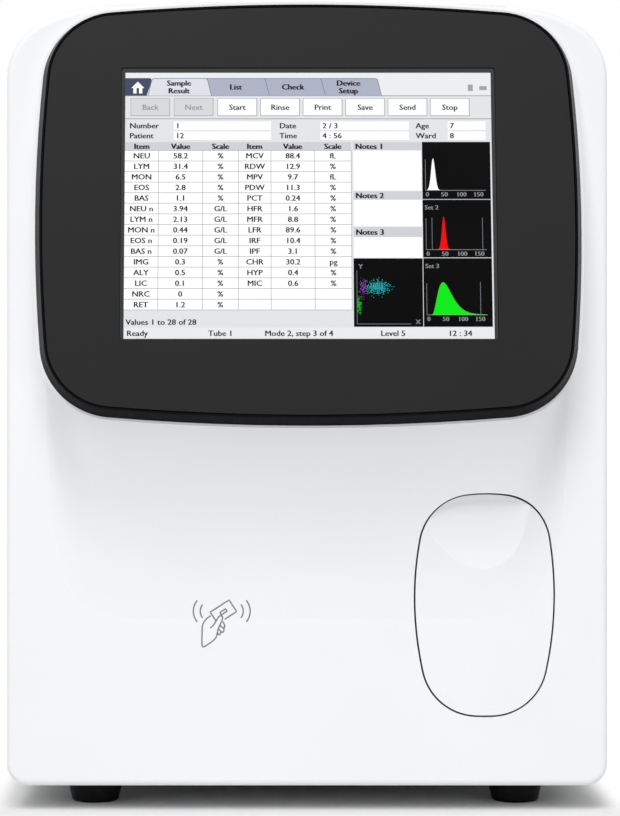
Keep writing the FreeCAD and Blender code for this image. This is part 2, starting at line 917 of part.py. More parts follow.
def slots(count, pitch, length, wide, place, axis):
    """A row of slots with round ends, each made by place at its own offset."""
    row = []
    for index in range(count):
        slot = place((index - (count - 1) / 2) * pitch, length, wide)
        row.append(soften(slot, wide / 2 * round_end_share, axis))
    return row


def make_covers():
    """Left, right and top covers: one wrap of the cabinet's outline in three pieces."""
    y0 = parting_y + cover_joint
    y1 = rear_y + cover_wall
    wrap = cabinet_block(0, y0, y1).cut(cabinet_block(cover_wall, y0 - cut_over, y1 + cut_over))
    flange_y = panel_inner_y - cover_wall
    ring = cabinet_block(cover_wall / 2, flange_y, panel_inner_y)
    ring = ring.cut(cabinet_block(cover_wall + rear_flange, flange_y - cut_over, panel_inner_y + cut_over))
    for x, z in panel_screw_places():
        hole = rod(V(x, flange_y - cut_over, z), V(0, 1, 0), panel_screw_radius + seat_gap, 2 * cut_over)
        ring = ring.cut(hole)
    wrap = wrap.fuse(ring)
    top = wrap.common(block(-width, width, y0, y1, split_z + cover_joint / 2, 2 * height))
    save("top_cover", top)
    seam = half_width - bottom_radius
    for name, side in (("left_side_cover", -1), ("right_side_cover", 1)):
        x0, x1 = sorted((side * seam, side * width))
        cover = wrap.common(block(x0, x1, y0, y1, 0, split_z - cover_joint / 2))
        y = rear_y - louvre_from_rear

        def louvre(offset, length, wide):
            z = louvre_low_z + offset
            x = side * half_width
            return block(x - cut_over / 2, x + cut_over / 2, y - length, y, z - wide / 2, z + wide / 2)

        for slot in slots(louvre_count, louvre_pitch, louvre_length, louvre_width, louvre, V(1, 0, 0)):
            cover = cover.cut(slot)
        save(name, cover)


def panel_screw_places():
    """Where the rear panel is screwed to the covers' flanges."""
    x = half_width - cover_wall - panel_screw_inset
    z_low = foot_height + bottom_radius + cover_wall
    z_mid = (z_low + split_z) / 2
    z_high = split_z - bottom_radius
    top_z = height - cover_wall - rear_flange / 2 - seat_gap
    top_x = panel_top_screw_x
    return [(x, z_low), (-x, z_low), (x, z_mid), (-x, z_mid), (x, z_high), (-x, z_high),
            (top_x, top_z), (-top_x, top_z)]


def fan_hole_places():
    """The four screw holes of the fan."""
    half = fan_hole_pitch / 2
    return [(fan_x + sx * half, fan_z + sz * half) for sx in (-1, 1) for sz in (-1, 1)]


def port_places():
    """The hose fittings, low on the rear panel."""
    return [(port_x + index * port_pitch, port_z) for index in range(port_count)]


def usb_places():
    """The data sockets in a row, the network socket last."""
    return [(data_x + index * usb_pitch, data_z) for index in range(usb_count)]


def make_rear_panel():
    """The steel rear panel with every hole that its fittings need."""
    panel = cabinet_block(cover_wall + rear_panel_gap, panel_inner_y, rear_y)
    lift = block(-width, width, -depth, depth, 0, tray_top + rear_panel_gap)
    panel = panel.cut(lift)
    y0 = panel_inner_y - cut_over

    def hole(x, z, radius):
        return rod(V(x, y0, z), V(0, 1, 0), radius, 2 * cut_over)

    def window(x, z, wide, high):
        return centred_block(x, y0, y0 + 2 * cut_over, z, wide, high)

    tools = [hole(x, z, panel_screw_radius + seat_gap) for x, z in panel_screw_places()]
    tools += [hole(x, z, fan_hole_radius) for x, z in fan_hole_places()]
    tools += [hole(x, z, port_thread_radius + seat_gap) for x, z in port_places()]
    tools.append(hole(fan_x, fan_z, fan_bore_radius))
    tools.append(hole(stud_x, stud_z, stud_radius + seat_gap))
    tools.append(window(inlet_x, inlet_z, inlet_width + 2 * seat_gap, inlet_height + 2 * seat_gap))
    tools.append(window(inlet_x, switch_z, switch_width + 2 * seat_gap, switch_height + 2 * seat_gap))
    for x, z in usb_places():
        tools.append(window(x, z, usb_width + 2 * seat_gap, usb_height + 2 * seat_gap))
    net_x = data_x + usb_count * usb_pitch
    tools.append(window(net_x, data_z, net_width + 2 * seat_gap, net_height + 2 * seat_gap))

    def vent(offset, length, wide):
        return centred_block(vent_x, y0, y0 + 2 * cut_over, vent_z + offset, length, wide)

    tools += slots(vent_count, vent_pitch, vent_length, vent_width, vent, V(0, 1, 0))
    for tool in tools:
        panel = panel.cut(tool)
    save("rear_panel", panel)


def foot_places():
    """The centres of the four feet."""
    y_front = front_y + foot_front_behind
    y_rear = rear_y - foot_rear_before
    return [(x, y) for y in (y_front, y_rear) for x in (-foot_x, foot_x)]


def make_tray():
    """The folded steel base, with its side, front and rear flanges."""
    x = half_width - bottom_radius - seat_gap
    y0 = parting_y + cover_joint
    y1 = panel_inner_y - rear_panel_gap
    tray = block(-x, x, y0, y1, foot_height, tray_top)
    high = tray_top + tray_flange
    for x0 in (-x, x - tray_thickness):
        tray = tray.fuse(block(x0, x0 + tray_thickness, y0, y1, foot_height, high))
    for y in (y0, y1 - tray_thickness):
        tray = tray.fuse(block(-x, x, y, y + tray_thickness, foot_height, high))
    for fx, fy in foot_places():
        tray = tray.cut(upright(fx, fy, 0, height / 2, foot_screw_radius + seat_gap))
    save("base_tray", tray.removeSplitter())


def make_feet():
    """Four tapered rubber feet, each with a recess for its screw."""
    feet = []
    for x, y in foot_places():
        foot = Part.makeCone(foot_bottom_radius, foot_top_radius, foot_height, V(x, y, 0))
        bevel = Part.makeCone(foot_bottom_radius - foot_bevel, foot_bottom_radius + foot_height - foot_bevel,
                              foot_height, V(x, y, 0))
        foot = foot.common(bevel)
        foot = foot.cut(upright(x, y, -cut_over, foot_recess_depth, foot_recess_radius))
        feet.append(foot.cut(upright(x, y, 0, foot_height + cut_over, foot_screw_radius + seat_gap)))
    save("rubber_feet", *feet)


def panel_screw(x, z, face_y, radius, head_radius, head, length):
    """A pan-head screw in the rear panel, its head outwards."""
    top = rod(V(x, face_y, z), V(0, 1, 0), head_radius, head)
    shank = rod(V(x, face_y - length, z), V(0, 1, 0), radius, length)
    return join(top, shank)


def make_case_screws():
    """The screws of the feet, the rear panel and the fan."""
    screws = []
    for x, y in foot_places():
        head_z = foot_recess_depth - foot_screw_head
        head = upright(x, y, head_z, foot_recess_depth, foot_screw_head_radius)
        shank = upright(x, y, head_z, tray_top + foot_screw_above, foot_screw_radius)
        screws.append(join(head, shank))
    for x, z in panel_screw_places():
        screws.append(panel_screw(x, z, rear_y, panel_screw_radius, panel_screw_head_radius,
                                  panel_screw_head, panel_screw_length))
    for x, z in fan_hole_places():
        screws.append(panel_screw(x, z, rear_y + guard_wire, fan_screw_radius, fan_screw_head_radius,
                                  fan_screw_head, fan_depth))
    save("case_screws", *screws)


def make_housing():
    """The dark pod rim: a bevelled ring with a rebate for the fascia and a screen opening."""
    outer = Part.makeLoft([pod_face(0, 0).OuterWire, pod_face(pod_bevel, pod_thickness).OuterWire],
                          True, True)
    rebate_inset = pod_bevel + ridge_width
    rebate = pod_face(rebate_inset, pod_thickness - fascia_thickness).extrude(pod_out * cut_over)
    housing = outer.cut(rebate)
    housing = housing.cut(screen_block(lcd_border + seat_gap, -cut_over, cut_over))
    save("display_housing", housing)


def screen_middle():
    """How far the screen's middle lies above the pod's."""
    return pod_height / 2 - screen_top_margin - screen_height / 2


def screen_block(grow, out0, out1):
    """A block along the pod's face, the screen's size and grown all round."""
    half_w = screen_width / 2 + grow
    half_h = screen_height / 2 + grow
    middle = screen_middle()
    corners = [pod_point(u, middle + v, out0)
               for u, v in ((-half_w, -half_h), (half_w, -half_h), (half_w, half_h), (-half_w, half_h))]
    wire = Part.makePolygon(corners + corners[:1])
    return Part.Face(wire).extrude(pod_out * (out1 - out0))


def make_fascia():
    """The dark face plate with the screen's window."""
    back = pod_thickness - fascia_thickness
    inset = pod_bevel + ridge_width + groove_width
    plate = pod_face(inset, back).extrude(pod_out * (fascia_thickness - fascia_drop))
    window = screen_block(0, back - cut_over, back + cut_over)
    window = soften(window, screen_corner_radius, pod_out)
    save("display_fascia", plate.cut(window))


def make_screen():
    """Touch glass, panel and its controller board, one behind another."""
    glass_front = pod_thickness - fascia_drop - glass_drop
    glass_back = glass_front - glass_thickness
    glass = screen_block(-seat_gap, glass_back, glass_front)
    save("touch_glass", soften(glass, screen_corner_radius, pod_out))
    lcd_front = glass_back - seat_gap
    lcd_step = pod_thickness - fascia_thickness - seat_gap
    lcd_back = lcd_step - lcd_thickness
    lcd = screen_block(lcd_border, lcd_back, min(lcd_step, lcd_front))
    save("lcd_panel", lcd)
    board_front = lcd_back - display_post_length
    middle = screen_middle()
    half_w, half_h = display_board_width / 2, display_board_height / 2
    corners = [pod_point(u, middle + v, board_front)
               for u, v in ((-half_w, -half_h), (half_w, -half_h), (half_w, half_h), (-half_w, half_h))]
    board = Part.Face(Part.makePolygon(corners + corners[:1])).extrude(pod_out * -board_thickness)
    for sx in (-1, 1):
        for sz in (-1, 1):
            u = sx * (half_w - 2 * display_post_radius)
            v = middle + sz * (half_h - 2 * display_post_radius)
            board = board.fuse(rod(pod_point(u, v, lcd_back), -pod_out, display_post_radius,
                                   display_post_length))
    half = display_chip_width / 2
    for u in (-half_w / 2, 0, half_w / 2):
        chip = [pod_point(u + du, middle + dv, board_front - board_thickness)
                for du, dv in ((-half, -half), (half, -half), (half, half), (-half, half))]
        chip_face = Part.Face(Part.makePolygon(chip + chip[:1]))
        board = board.fuse(chip_face.extrude(pod_out * -display_chip_height))
    save("display_board", board.removeSplitter())


def make_card_reader():
    """The contactless card reader's board, on posts behind the printed symbol."""
    y0 = front_y + front_wall + card_post_length
    board = centred_block(card_board_x, y0, y0 + board_thickness, card_board_z,
                          card_board_width, card_board_height)
    for sx in (-1, 1):
        for sz in (-1, 1):
            x = card_board_x + sx * (card_board_width / 2 - card_post_inset)
            z = card_board_z + sz * (card_board_height / 2 - card_post_inset)
            post = rod(V(x, front_y + front_wall, z), V(0, 1, 0), card_post_radius, card_post_length)
            board = board.fuse(post)
    back = y0 + board_thickness
    wide = card_board_width - 2 * coil_inset
    high = card_board_height - 2 * coil_inset
    coil = centred_block(card_board_x, back, back + coil_height, card_board_z, wide, high)
    coil = coil.cut(centred_block(card_board_x, back - cut_over, back + cut_over, card_board_z,
                                  wide - 2 * coil_width, high - 2 * coil_width))
    save("card_reader_board", board.fuse(coil).removeSplitter())


def make_chassis():
    """The upright plate that carries the fluidics, with its foot flange and two braces."""
    x = half_width - cover_wall - plate_side_gap
    top = height - plate_top_gap - corner_radius
    plate = block(-x, x, plate_y, plate_rear_y, tray_top, top)
    foot_x_end = half_width - bottom_radius - seat_gap - 2 * tray_thickness
    plate = plate.cut(block(-width, -foot_x_end, -depth, depth, 0, tray_top + tray_flange + seat_gap))
    plate = plate.cut(block(foot_x_end, width, -depth, depth, 0, tray_top + tray_flange + seat_gap))
    flange = block(-foot_x_end, foot_x_end, plate_rear_y, plate_rear_y + plate_flange,
                   tray_top, tray_top + plate_thickness)
    braces = []
    for side in (-1, 1):
        x0 = side * (half_width - brace_inset)
        z1 = top - brace_side
        outer = block(x0 - brace_side / 2, x0 + brace_side / 2, plate_rear_y,
                      panel_inner_y - seat_gap, z1 - brace_side, z1)
        inner = block(x0 - brace_side / 2 + tray_thickness, x0 + brace_side, plate_rear_y - cut_over,
                      rear_y + cut_over, z1 - brace_side - cut_over, z1 - tray_thickness)
        braces.append(outer.cut(inner))
    save("chassis_plate", join(plate, flange), *braces)


def stepper(side, length, corner, axis):
    """A square stepping motor whose face centre is at corner, its boss along axis."""
    if abs(axis.z) > abs(axis.x):
        z0, z1 = sorted((corner.z, corner.z - axis.z * length))
        body = block(corner.x - side / 2, corner.x + side / 2, corner.y - side / 2,
                     corner.y + side / 2, z0, z1)
        along = V(0, 0, 1)
    else:
        x0, x1 = sorted((corner.x, corner.x - axis.x * length))
        body = block(x0, x1, corner.y - side / 2, corner.y + side / 2, corner.z - side / 2,
                     corner.z + side / 2)
        along = V(1, 0, 0)
    edges = [edge for edge in body.Edges if abs(edge.Curve.Direction.dot(along)) > parallel_share]
    return body.makeChamfer(motor_chamfer, edges)


def make_gantry():
    """Rods, screw, end blocks and motor that carry the probe across."""
    blocks = []
    z0 = lower_rod_z - rod_block_margin
    z1 = upper_rod_z + rod_block_margin
    for x0 in (rod_left - rod_block_width, rod_right):
        end = block(x0, x0 + rod_block_width, rod_y - rod_block_margin, plate_y, z0, z1)
        for z in (lower_rod_z, upper_rod_z):
            end = end.cut(rod(V(x0 - cut_over, rod_y, z), V(1, 0, 0), rod_radius + running_gap,
                              3 * cut_over))
        end = end.cut(rod(V(x0 - cut_over, rod_y, screw_z), V(1, 0, 0), screw_neck + running_gap,
                          3 * cut_over))
        blocks.append(end)
    save("gantry_blocks", *blocks)
    start = rod_left - rod_block_width
    length = rod_right - rod_left + 2 * rod_block_width
    rods = [rod(V(start, rod_y, z), V(1, 0, 0), rod_radius, length) for z in (lower_rod_z, upper_rod_z)]
    save("gantry_rods", *rods)
    thread = rod(V(rod_left + seat_gap, rod_y, screw_z), V(1, 0, 0), screw_radius,
                 rod_right - rod_left - 2 * seat_gap)
    neck = rod(V(start - seat_gap, rod_y, screw_z), V(1, 0, 0), screw_neck, length + seat_gap)
    save("traverse_screw", join(thread, neck))
    face = start - 2 * seat_gap
    motor = stepper(motor_side, motor_length, V(face, rod_y, screw_z), V(1, 0, 0))
    tie = block(face - motor_length, face, rod_y + motor_side / 2 - running_gap, plate_y,
                screw_z - motor_side / 2, screw_z + motor_side / 2)
    save("traverse_motor", motor.fuse(tie).removeSplitter())


def make_carriage():
    """The carriage on the rods, with the column and brackets that carry the lift."""
    half = carriage_width / 2
    x0, x1 = door_x - half, door_x + half
    rear = rod_y + carriage_block_depth / 2
    column_back = column_front_y + column_thickness
    slide = block(x0, x1, column_back - least_radius, rear, lower_rod_z - carriage_block_margin,
                  upper_rod_z + carriage_block_margin)
    column = block(x0, x1, column_front_y, column_back, lower_bracket_z, upper_bracket_z + bracket_thickness)
    parts = [column]
    for z in (lower_bracket_z, upper_bracket_z):
        parts.append(block(x0, x1, probe_y - arm_front, column_front_y, z, z + bracket_thickness))
    carriage = join(slide, *parts)
    for z, radius in ((lower_rod_z, rod_radius), (upper_rod_z, rod_radius), (screw_z, screw_radius)):
        carriage = carriage.cut(rod(V(x0 - cut_over, rod_y, z), V(1, 0, 0), radius + running_gap,
                                    carriage_width + 2 * cut_over))
    bottom, top = lower_bracket_z - cut_over, upper_bracket_z + cut_over
    carriage = carriage.cut(upright(door_x, probe_y, bottom, top, probe_hole_radius))
    for x, radius in ((door_x - lift_offset, lift_rod_radius), (door_x + lift_offset, lift_screw_radius)):
        carriage = carriage.cut(upright(x, lift_y, bottom, top, radius + running_gap))
    save("probe_carriage", carriage)
    wash = block(door_x - wash_side / 2, door_x + wash_side / 2, probe_y - wash_side / 2,
                 probe_y + wash_side / 2, lower_bracket_z - wash_height, lower_bracket_z)
    wash = soften(wash, least_radius, V(0, 0, 1))
    save("wash_block", wash.cut(upright(door_x, probe_y, bottom, top, wash_bore_radius)))
    rod_top = upper_bracket_z + bracket_thickness
    save("lift_rod", upright(door_x - lift_offset, lift_y, lower_bracket_z, rod_top, lift_rod_radius))
    save("lift_screw", upright(door_x + lift_offset, lift_y, lower_bracket_z, rod_top, lift_screw_radius))
    motor_x = door_x + lift_offset - motor_side / 2 + lift_screw_radius + motor_chamfer
    motor = stepper(motor_side, motor_length, V(motor_x, lift_y, rod_top + seat_gap), V(0, 0, -1))
    save("lift_motor", motor)


def make_probe():
    """The lift arm and the steel sampling needle."""
    half = carriage_width / 2
    arm = block(door_x - half, door_x + half, probe_y - arm_front, column_front_y - seat_gap,
                arm_bottom, arm_bottom + arm_height)
    arm = soften(arm, least_radius, V(0, 0, 1))
    for x, y, radius in ((door_x, probe_y, probe_radius + running_gap),
                         (door_x - lift_offset, lift_y, lift_rod_radius + running_gap),
                         (door_x + lift_offset, lift_y, lift_screw_radius + running_gap)):
        arm = arm.cut(upright(x, y, arm_bottom - cut_over, arm_bottom + arm_height + cut_over, radius))
    save("probe_arm", arm)
    needle = upright(door_x, probe_y, probe_up, probe_top, probe_radius)
    arm_top = arm_bottom + arm_height
    cap = upright(door_x, probe_y, arm_top, arm_top + cap_height, cap_radius)
    save("sample_probe", join(needle, cap))


def bath_places():
    """Where the two counting baths stand under the probe's path."""
    return [bath_x, bath_x + bath_pitch]


def make_baths():
    """Two counting baths, turned cups with a funnel and a spout, on one bracket."""
    baths = []
    for x in bath_places():
        cup_bottom = bath_floor - bath_funnel
        cup = upright(x, probe_y, bath_floor, bath_top, bath_radius)
        funnel = Part.makeCone(bath_spout_radius, bath_radius, bath_funnel, V(x, probe_y, cup_bottom))
        spout = upright(x, probe_y, cup_bottom - bath_spout_length, cup_bottom, bath_spout_radius)
        bath = join(cup, funnel, spout)
        bath = bath.cut(upright(x, probe_y, bath_floor, bath_top + cut_over, bath_radius - bath_wall))
        side = rod(V(x, probe_y, aperture_z), V(0, -1, 0), aperture_radius, bath_radius + aperture_length)
        side = side.cut(upright(x, probe_y, 0, height, bath_radius - bath_wall))
        baths.append(bath.fuse(side).removeSplitter())
    save("counting_baths", *baths)
    xs = bath_places()
    margin = bath_radius + bath_arm_ring
    bar = block(min(xs) - margin, max(xs) + margin, probe_y - margin / 2, plate_y,
                bath_arm_z, bath_arm_z + bath_arm_height)
    bar = soften(bar, bath_arm_ring, V(0, 0, 1))
    for x in xs:
        bar = bar.cut(upright(x, probe_y, bath_arm_z - cut_over, bath_arm_z + cut_over,
                              bath_radius + running_gap))
    save("bath_bracket", bar)


def make_syringes():
    """Two syringes on one plate, driven together by a screw between them."""
    y = plate_y - syringe_front
    plate_front = plate_y - syringe_plate_thickness
    xs = [syringe_x - syringe_pitch / 2, syringe_x + syringe_pitch / 2]
    half = syringe_plate_width / 2
    frame = block(syringe_x - half, syringe_x + half, plate_front, plate_y,
                  syringe_plate_bottom, syringe_plate_top)
    top = barrel_bottom + barrel_length
    for z in (barrel_bottom + syringe_clamp_height, top - 2 * syringe_clamp_height):
        clamp = block(syringe_x - half, syringe_x + half, y - barrel_radius / 2, plate_front,
                      z, z + syringe_clamp_height)
        for x in xs:
            clamp = clamp.cut(upright(x, y, z - cut_over, z + cut_over, barrel_radius + running_gap))
        frame = frame.fuse(clamp)
    shelf = block(syringe_x - half, syringe_x + half, y - syringe_motor_side / 2, plate_front,
                  syringe_shelf_z, syringe_shelf_z + syringe_shelf_thickness)
    shelf = shelf.cut(upright(syringe_x, y, 0, height, syringe_screw_radius + running_gap))
    frame = frame.fuse(shelf)
    collar_z = barrel_bottom + syringe_clamp_height
    bearing = upright(syringe_x, y, collar_z - cut_over / 2, collar_z + syringe_clamp_height + cut_over / 2,
                      syringe_screw_radius + running_gap)
    frame = frame.cut(bearing)
    save("syringe_frame", frame.removeSplitter())
    barrels = []
    for x in xs:
        tube = upright(x, y, barrel_bottom, top, barrel_radius)
        tube = tube.cut(upright(x, y, barrel_bottom - cut_over, top - barrel_wall,
                                barrel_radius - barrel_wall))
        tip = upright(x, y, top, top + barrel_tip_length, barrel_tip_radius)
        barrels.append(join(tube, tip))
    save("syringe_barrels", *barrels)
    head_z = top - barrel_wall - plunger_top_gap - plunger_travel - plunger_head
    yoke = block(syringe_x - yoke_width / 2, syringe_x + yoke_width / 2, y - yoke_depth / 2,
                 y + yoke_depth / 2, yoke_z, yoke_z + yoke_height)
    yoke = soften(yoke, barrel_wall, V(0, 0, 1))
    yoke = yoke.cut(upright(syringe_x, y, yoke_z - cut_over, yoke_z + cut_over,
                            syringe_screw_radius + running_gap))
    for x in xs:
        yoke = yoke.fuse(upright(x, y, yoke_z, head_z, plunger_rod_radius))
    save("plunger_yoke", yoke)
    save("syringe_plungers", *[upright(x, y, head_z, head_z + plunger_head, plunger_radius) for x in xs])
    save("syringe_screw", upright(syringe_x, y, syringe_shelf_z, collar_z + syringe_clamp_height,
                                  syringe_screw_radius))
    motor = stepper(syringe_motor_side, syringe_motor_length, V(syringe_x, y, syringe_shelf_z - seat_gap),
                    V(0, 0, 1))
    save("syringe_motor", motor)


def make_optics():
    """Laser, flow cell and detector on a cast bench behind the chassis plate."""
    y0 = plate_rear_y
    x0 = bench_x - bench_width / 2
    bench = block(x0, x0 + bench_width, y0, y0 + bench_depth, bench_z, bench_z + bench_thickness)
    for x in (x0, x0 + bench_width - bench_foot):
        profile = [V(x, y0, bench_z), V(x, y0 + bench_depth / 2, bench_z),
                   V(x, y0, bench_z - bench_depth / 2)]
        gusset = Part.Face(Part.makePolygon(profile + profile[:1])).extrude(V(bench_foot, 0, 0))
        bench = bench.fuse(gusset)
    top = bench_z + bench_thickness
    axis_z = top + laser_axis_rise
    mid_y = y0 + bench_depth / 2
    for x in (laser_left + cradle_inset, laser_left + laser_length - cradle_inset - cradle_width):
        cradle = block(x, x + cradle_width, mid_y - cradle_depth / 2, mid_y + cradle_depth / 2, top, axis_z)
        cradle = cradle.cut(rod(V(x - cut_over, mid_y, axis_z), V(1, 0, 0), laser_radius + running_gap,
                                3 * cut_over))
        bench = bench.fuse(cradle)
    save("optical_bench", bench.removeSplitter())
    laser = rod(V(laser_left, mid_y, axis_z), V(1, 0, 0), laser_radius, laser_length)
    snout = rod(V(laser_left + laser_length, mid_y, axis_z), V(1, 0, 0), laser_radius / 2, laser_radius)
    save("laser_module", join(laser, snout))
    cell = block(cell_x - cell_side / 2, cell_x + cell_side / 2, mid_y - cell_side / 2,
                 mid_y + cell_side / 2, top, top + cell_height)
    cell = cell.cut(rod(V(cell_x - cut_over, mid_y, axis_z), V(1, 0, 0), cell_bore_radius, 2 * cut_over))
    cell = cell.cut(upright(cell_x, mid_y, top + cell_bore_radius, top + 2 * cell_height,
                            cell_bore_radius / 2))
    save("flow_cell", soften(cell, least_radius, V(0, 0, 1)))
    board = block(detector_x, detector_x + detector_width, mid_y - detector_depth / 2,
                  mid_y + detector_depth / 2, top, top + detector_height)
    can = rod(V(detector_x, mid_y, axis_z), V(-1, 0, 0), detector_can_radius, detector_can_length)
    save("detector_board", join(board, can))


def make_boards():
    """The main board on posts, and the switched supply on the base."""
    y0 = plate_rear_y + board_post_length
    y1 = y0 + board_thickness
    z_mid = main_board_z + main_board_height / 2
    half_w, half_h = main_board_width / 2, main_board_height / 2
    board = centred_block(main_board_x, y0, y1, z_mid, main_board_width, main_board_height)
    for index in (-1, 0, 1):
        x = main_board_x + index * half_w / 2
        board = board.fuse(centred_block(x, y1, y1 + chip_height, z_mid, chip_side, chip_side))
        z = z_mid + half_h - connector_height
        board = board.fuse(centred_block(x, y1, y1 + connector_depth, z, connector_width, connector_height))
    posts = []
    for sx in (-1, 1):
        for sz in (-1, 1):
            x = main_board_x + sx * (half_w - board_post_inset)
            z = z_mid + sz * (half_h - board_post_inset)
            posts.append(rod(V(x, plate_rear_y, z), V(0, 1, 0), board_post_radius, board_post_length))
    save("main_board", board.removeSplitter(), *posts)
    y1 = panel_inner_y - supply_rear_gap
    case = block(supply_x - supply_width / 2, supply_x + supply_width / 2, y1 - supply_depth, y1,
                 tray_top, tray_top + supply_height)
    lid_z = tray_top + supply_height

    def vent(offset, length, wide):
        y = y1 - supply_depth / 2 + offset
        return block(supply_x - length / 2, supply_x + length / 2, y - wide / 2, y + wide / 2,
                     lid_z - supply_lid, lid_z + cut_over)

    for slot in slots(supply_slot_count, supply_slot_pitch, supply_slot_length, supply_slot_width,
                      vent, V(0, 0, 1)):
        case = case.cut(slot)
    save("power_supply", case)


def make_fan():
    """The rear fan: square frame with struts, bladed rotor and a ring guard."""
    y0 = panel_inner_y - fan_depth
    frame = centred_block(fan_x, y0, panel_inner_y, fan_z, fan_side, fan_side)
    frame = soften(frame, fan_corner_radius, V(0, 1, 0))
    through = fan_depth + 2 * cut_over
    frame = frame.cut(rod(V(fan_x, y0 - cut_over, fan_z), V(0, 1, 0), fan_bore_radius, through))
    for x, z in fan_hole_places():
        frame = frame.cut(rod(V(x, y0 - cut_over, z), V(0, 1, 0), fan_hole_radius, through))
    hub = rod(V(fan_x, y0, fan_z), V(0, 1, 0), fan_hub_radius, fan_strut_depth)
    for turn in range(2):
        strut = centred_block(fan_x, y0, y0 + fan_strut_depth, fan_z, fan_strut_width, 2 * fan_bore_radius)
        strut.rotate(V(fan_x, y0, fan_z), V(0, 1, 0), turn * right_angle)
        hub = hub.fuse(strut)
    axle = rod(V(fan_x, y0, fan_z), V(0, 1, 0), fan_axle_radius, fan_strut_depth + fan_hub_depth / 2)
    hub = hub.common(rod(V(fan_x, y0, fan_z), V(0, 1, 0), fan_bore_radius + seat_gap, fan_strut_depth))
    save("fan_frame", join(frame, hub, axle))
    start = y0 + fan_strut_depth + seat_gap
    rotor = rod(V(fan_x, start, fan_z), V(0, 1, 0), fan_hub_radius, fan_hub_depth)
    middle = start + fan_hub_depth / 2
    for index in range(fan_blade_count):
        blade = block(fan_x - fan_blade_thickness / 2, fan_x + fan_blade_thickness / 2,
                      middle - fan_blade_depth / 2, middle + fan_blade_depth / 2,
                      fan_z + fan_hub_radius - fan_wall, fan_z + fan_blade_radius)
        blade.rotate(V(fan_x, middle, fan_z), V(0, 0, 1), fan_blade_twist)
        blade.rotate(V(fan_x, middle, fan_z), V(0, 1, 0), full_turn * index / fan_blade_count)
        rotor = rotor.fuse(blade)
    keep = rod(V(fan_x, start, fan_z), V(0, 1, 0), fan_blade_radius + fan_wall / 2, fan_depth)
    rotor = rotor.common(keep)
    rotor = rotor.cut(rod(V(fan_x, start - cut_over, fan_z), V(0, 1, 0), fan_axle_radius + running_gap,
                          cut_over + fan_hub_depth / 2))
    save("fan_rotor", rotor)
    wire_y = rear_y + guard_wire
    guard = centred_block(fan_x, rear_y, wire_y, fan_z, guard_strut_width, fan_hole_pitch)
    guard = guard.fuse(centred_block(fan_x, rear_y, wire_y, fan_z, fan_hole_pitch, guard_strut_width))
    for index in range(guard_ring_count):
        radius = fan_bore_radius * (index + 1) / guard_ring_count
        ring = rod(V(fan_x, rear_y, fan_z), V(0, 1, 0), radius, guard_wire)
        ring = ring.cut(rod(V(fan_x, rear_y - cut_over, fan_z), V(0, 1, 0), radius - guard_wire,
                            2 * cut_over))
        guard = guard.fuse(ring)
    arm_length = math.hypot(fan_hole_pitch, fan_hole_pitch)
    for side in (-1, 1):
        arm = centred_block(fan_x, rear_y, rear_y + guard_wire, fan_z, arm_length, guard_strut_width)
        arm.rotate(V(fan_x, rear_y, fan_z), V(0, 1, 0), side * right_angle / 2)
        guard = guard.fuse(arm)
    for x, z in fan_hole_places():
        guard = guard.fuse(rod(V(x, rear_y, z), V(0, 1, 0), guard_lug_radius, guard_wire))
    for x, z in fan_hole_places():
        guard = guard.cut(rod(V(x, rear_y - cut_over, z), V(0, 1, 0), fan_hole_radius, 2 * cut_over))
    save("fan_guard", guard.removeSplitter())


def make_inlet():
    """The mains inlet with its well and three pins."""
    flange = centred_block(inlet_x, rear_y, rear_y + inlet_flange_thickness, inlet_z,
                           inlet_flange_width, inlet_flange_height)
    flange = soften(flange, inlet_well_radius, V(0, 1, 0))
    body = centred_block(inlet_x, rear_y - inlet_body_depth, rear_y, inlet_z, inlet_width, inlet_height)
    inlet = join(flange, body)
    front = rear_y + inlet_flange_thickness
    well = centred_block(inlet_x, front - inlet_well_depth, front + cut_over, inlet_z,
                         inlet_well_width, inlet_well_height)
    inlet = inlet.cut(soften(well, inlet_well_radius, V(0, 1, 0)))
    for index in (-1, 0, 1):
        pin = centred_block(inlet_x + index * inlet_pin_pitch, front - inlet_well_depth - least_radius,
                            front - inlet_pin_below_rim, inlet_z, inlet_pin_width, inlet_pin_height)
        inlet = inlet.fuse(pin)
    save("power_inlet", inlet.removeSplitter())


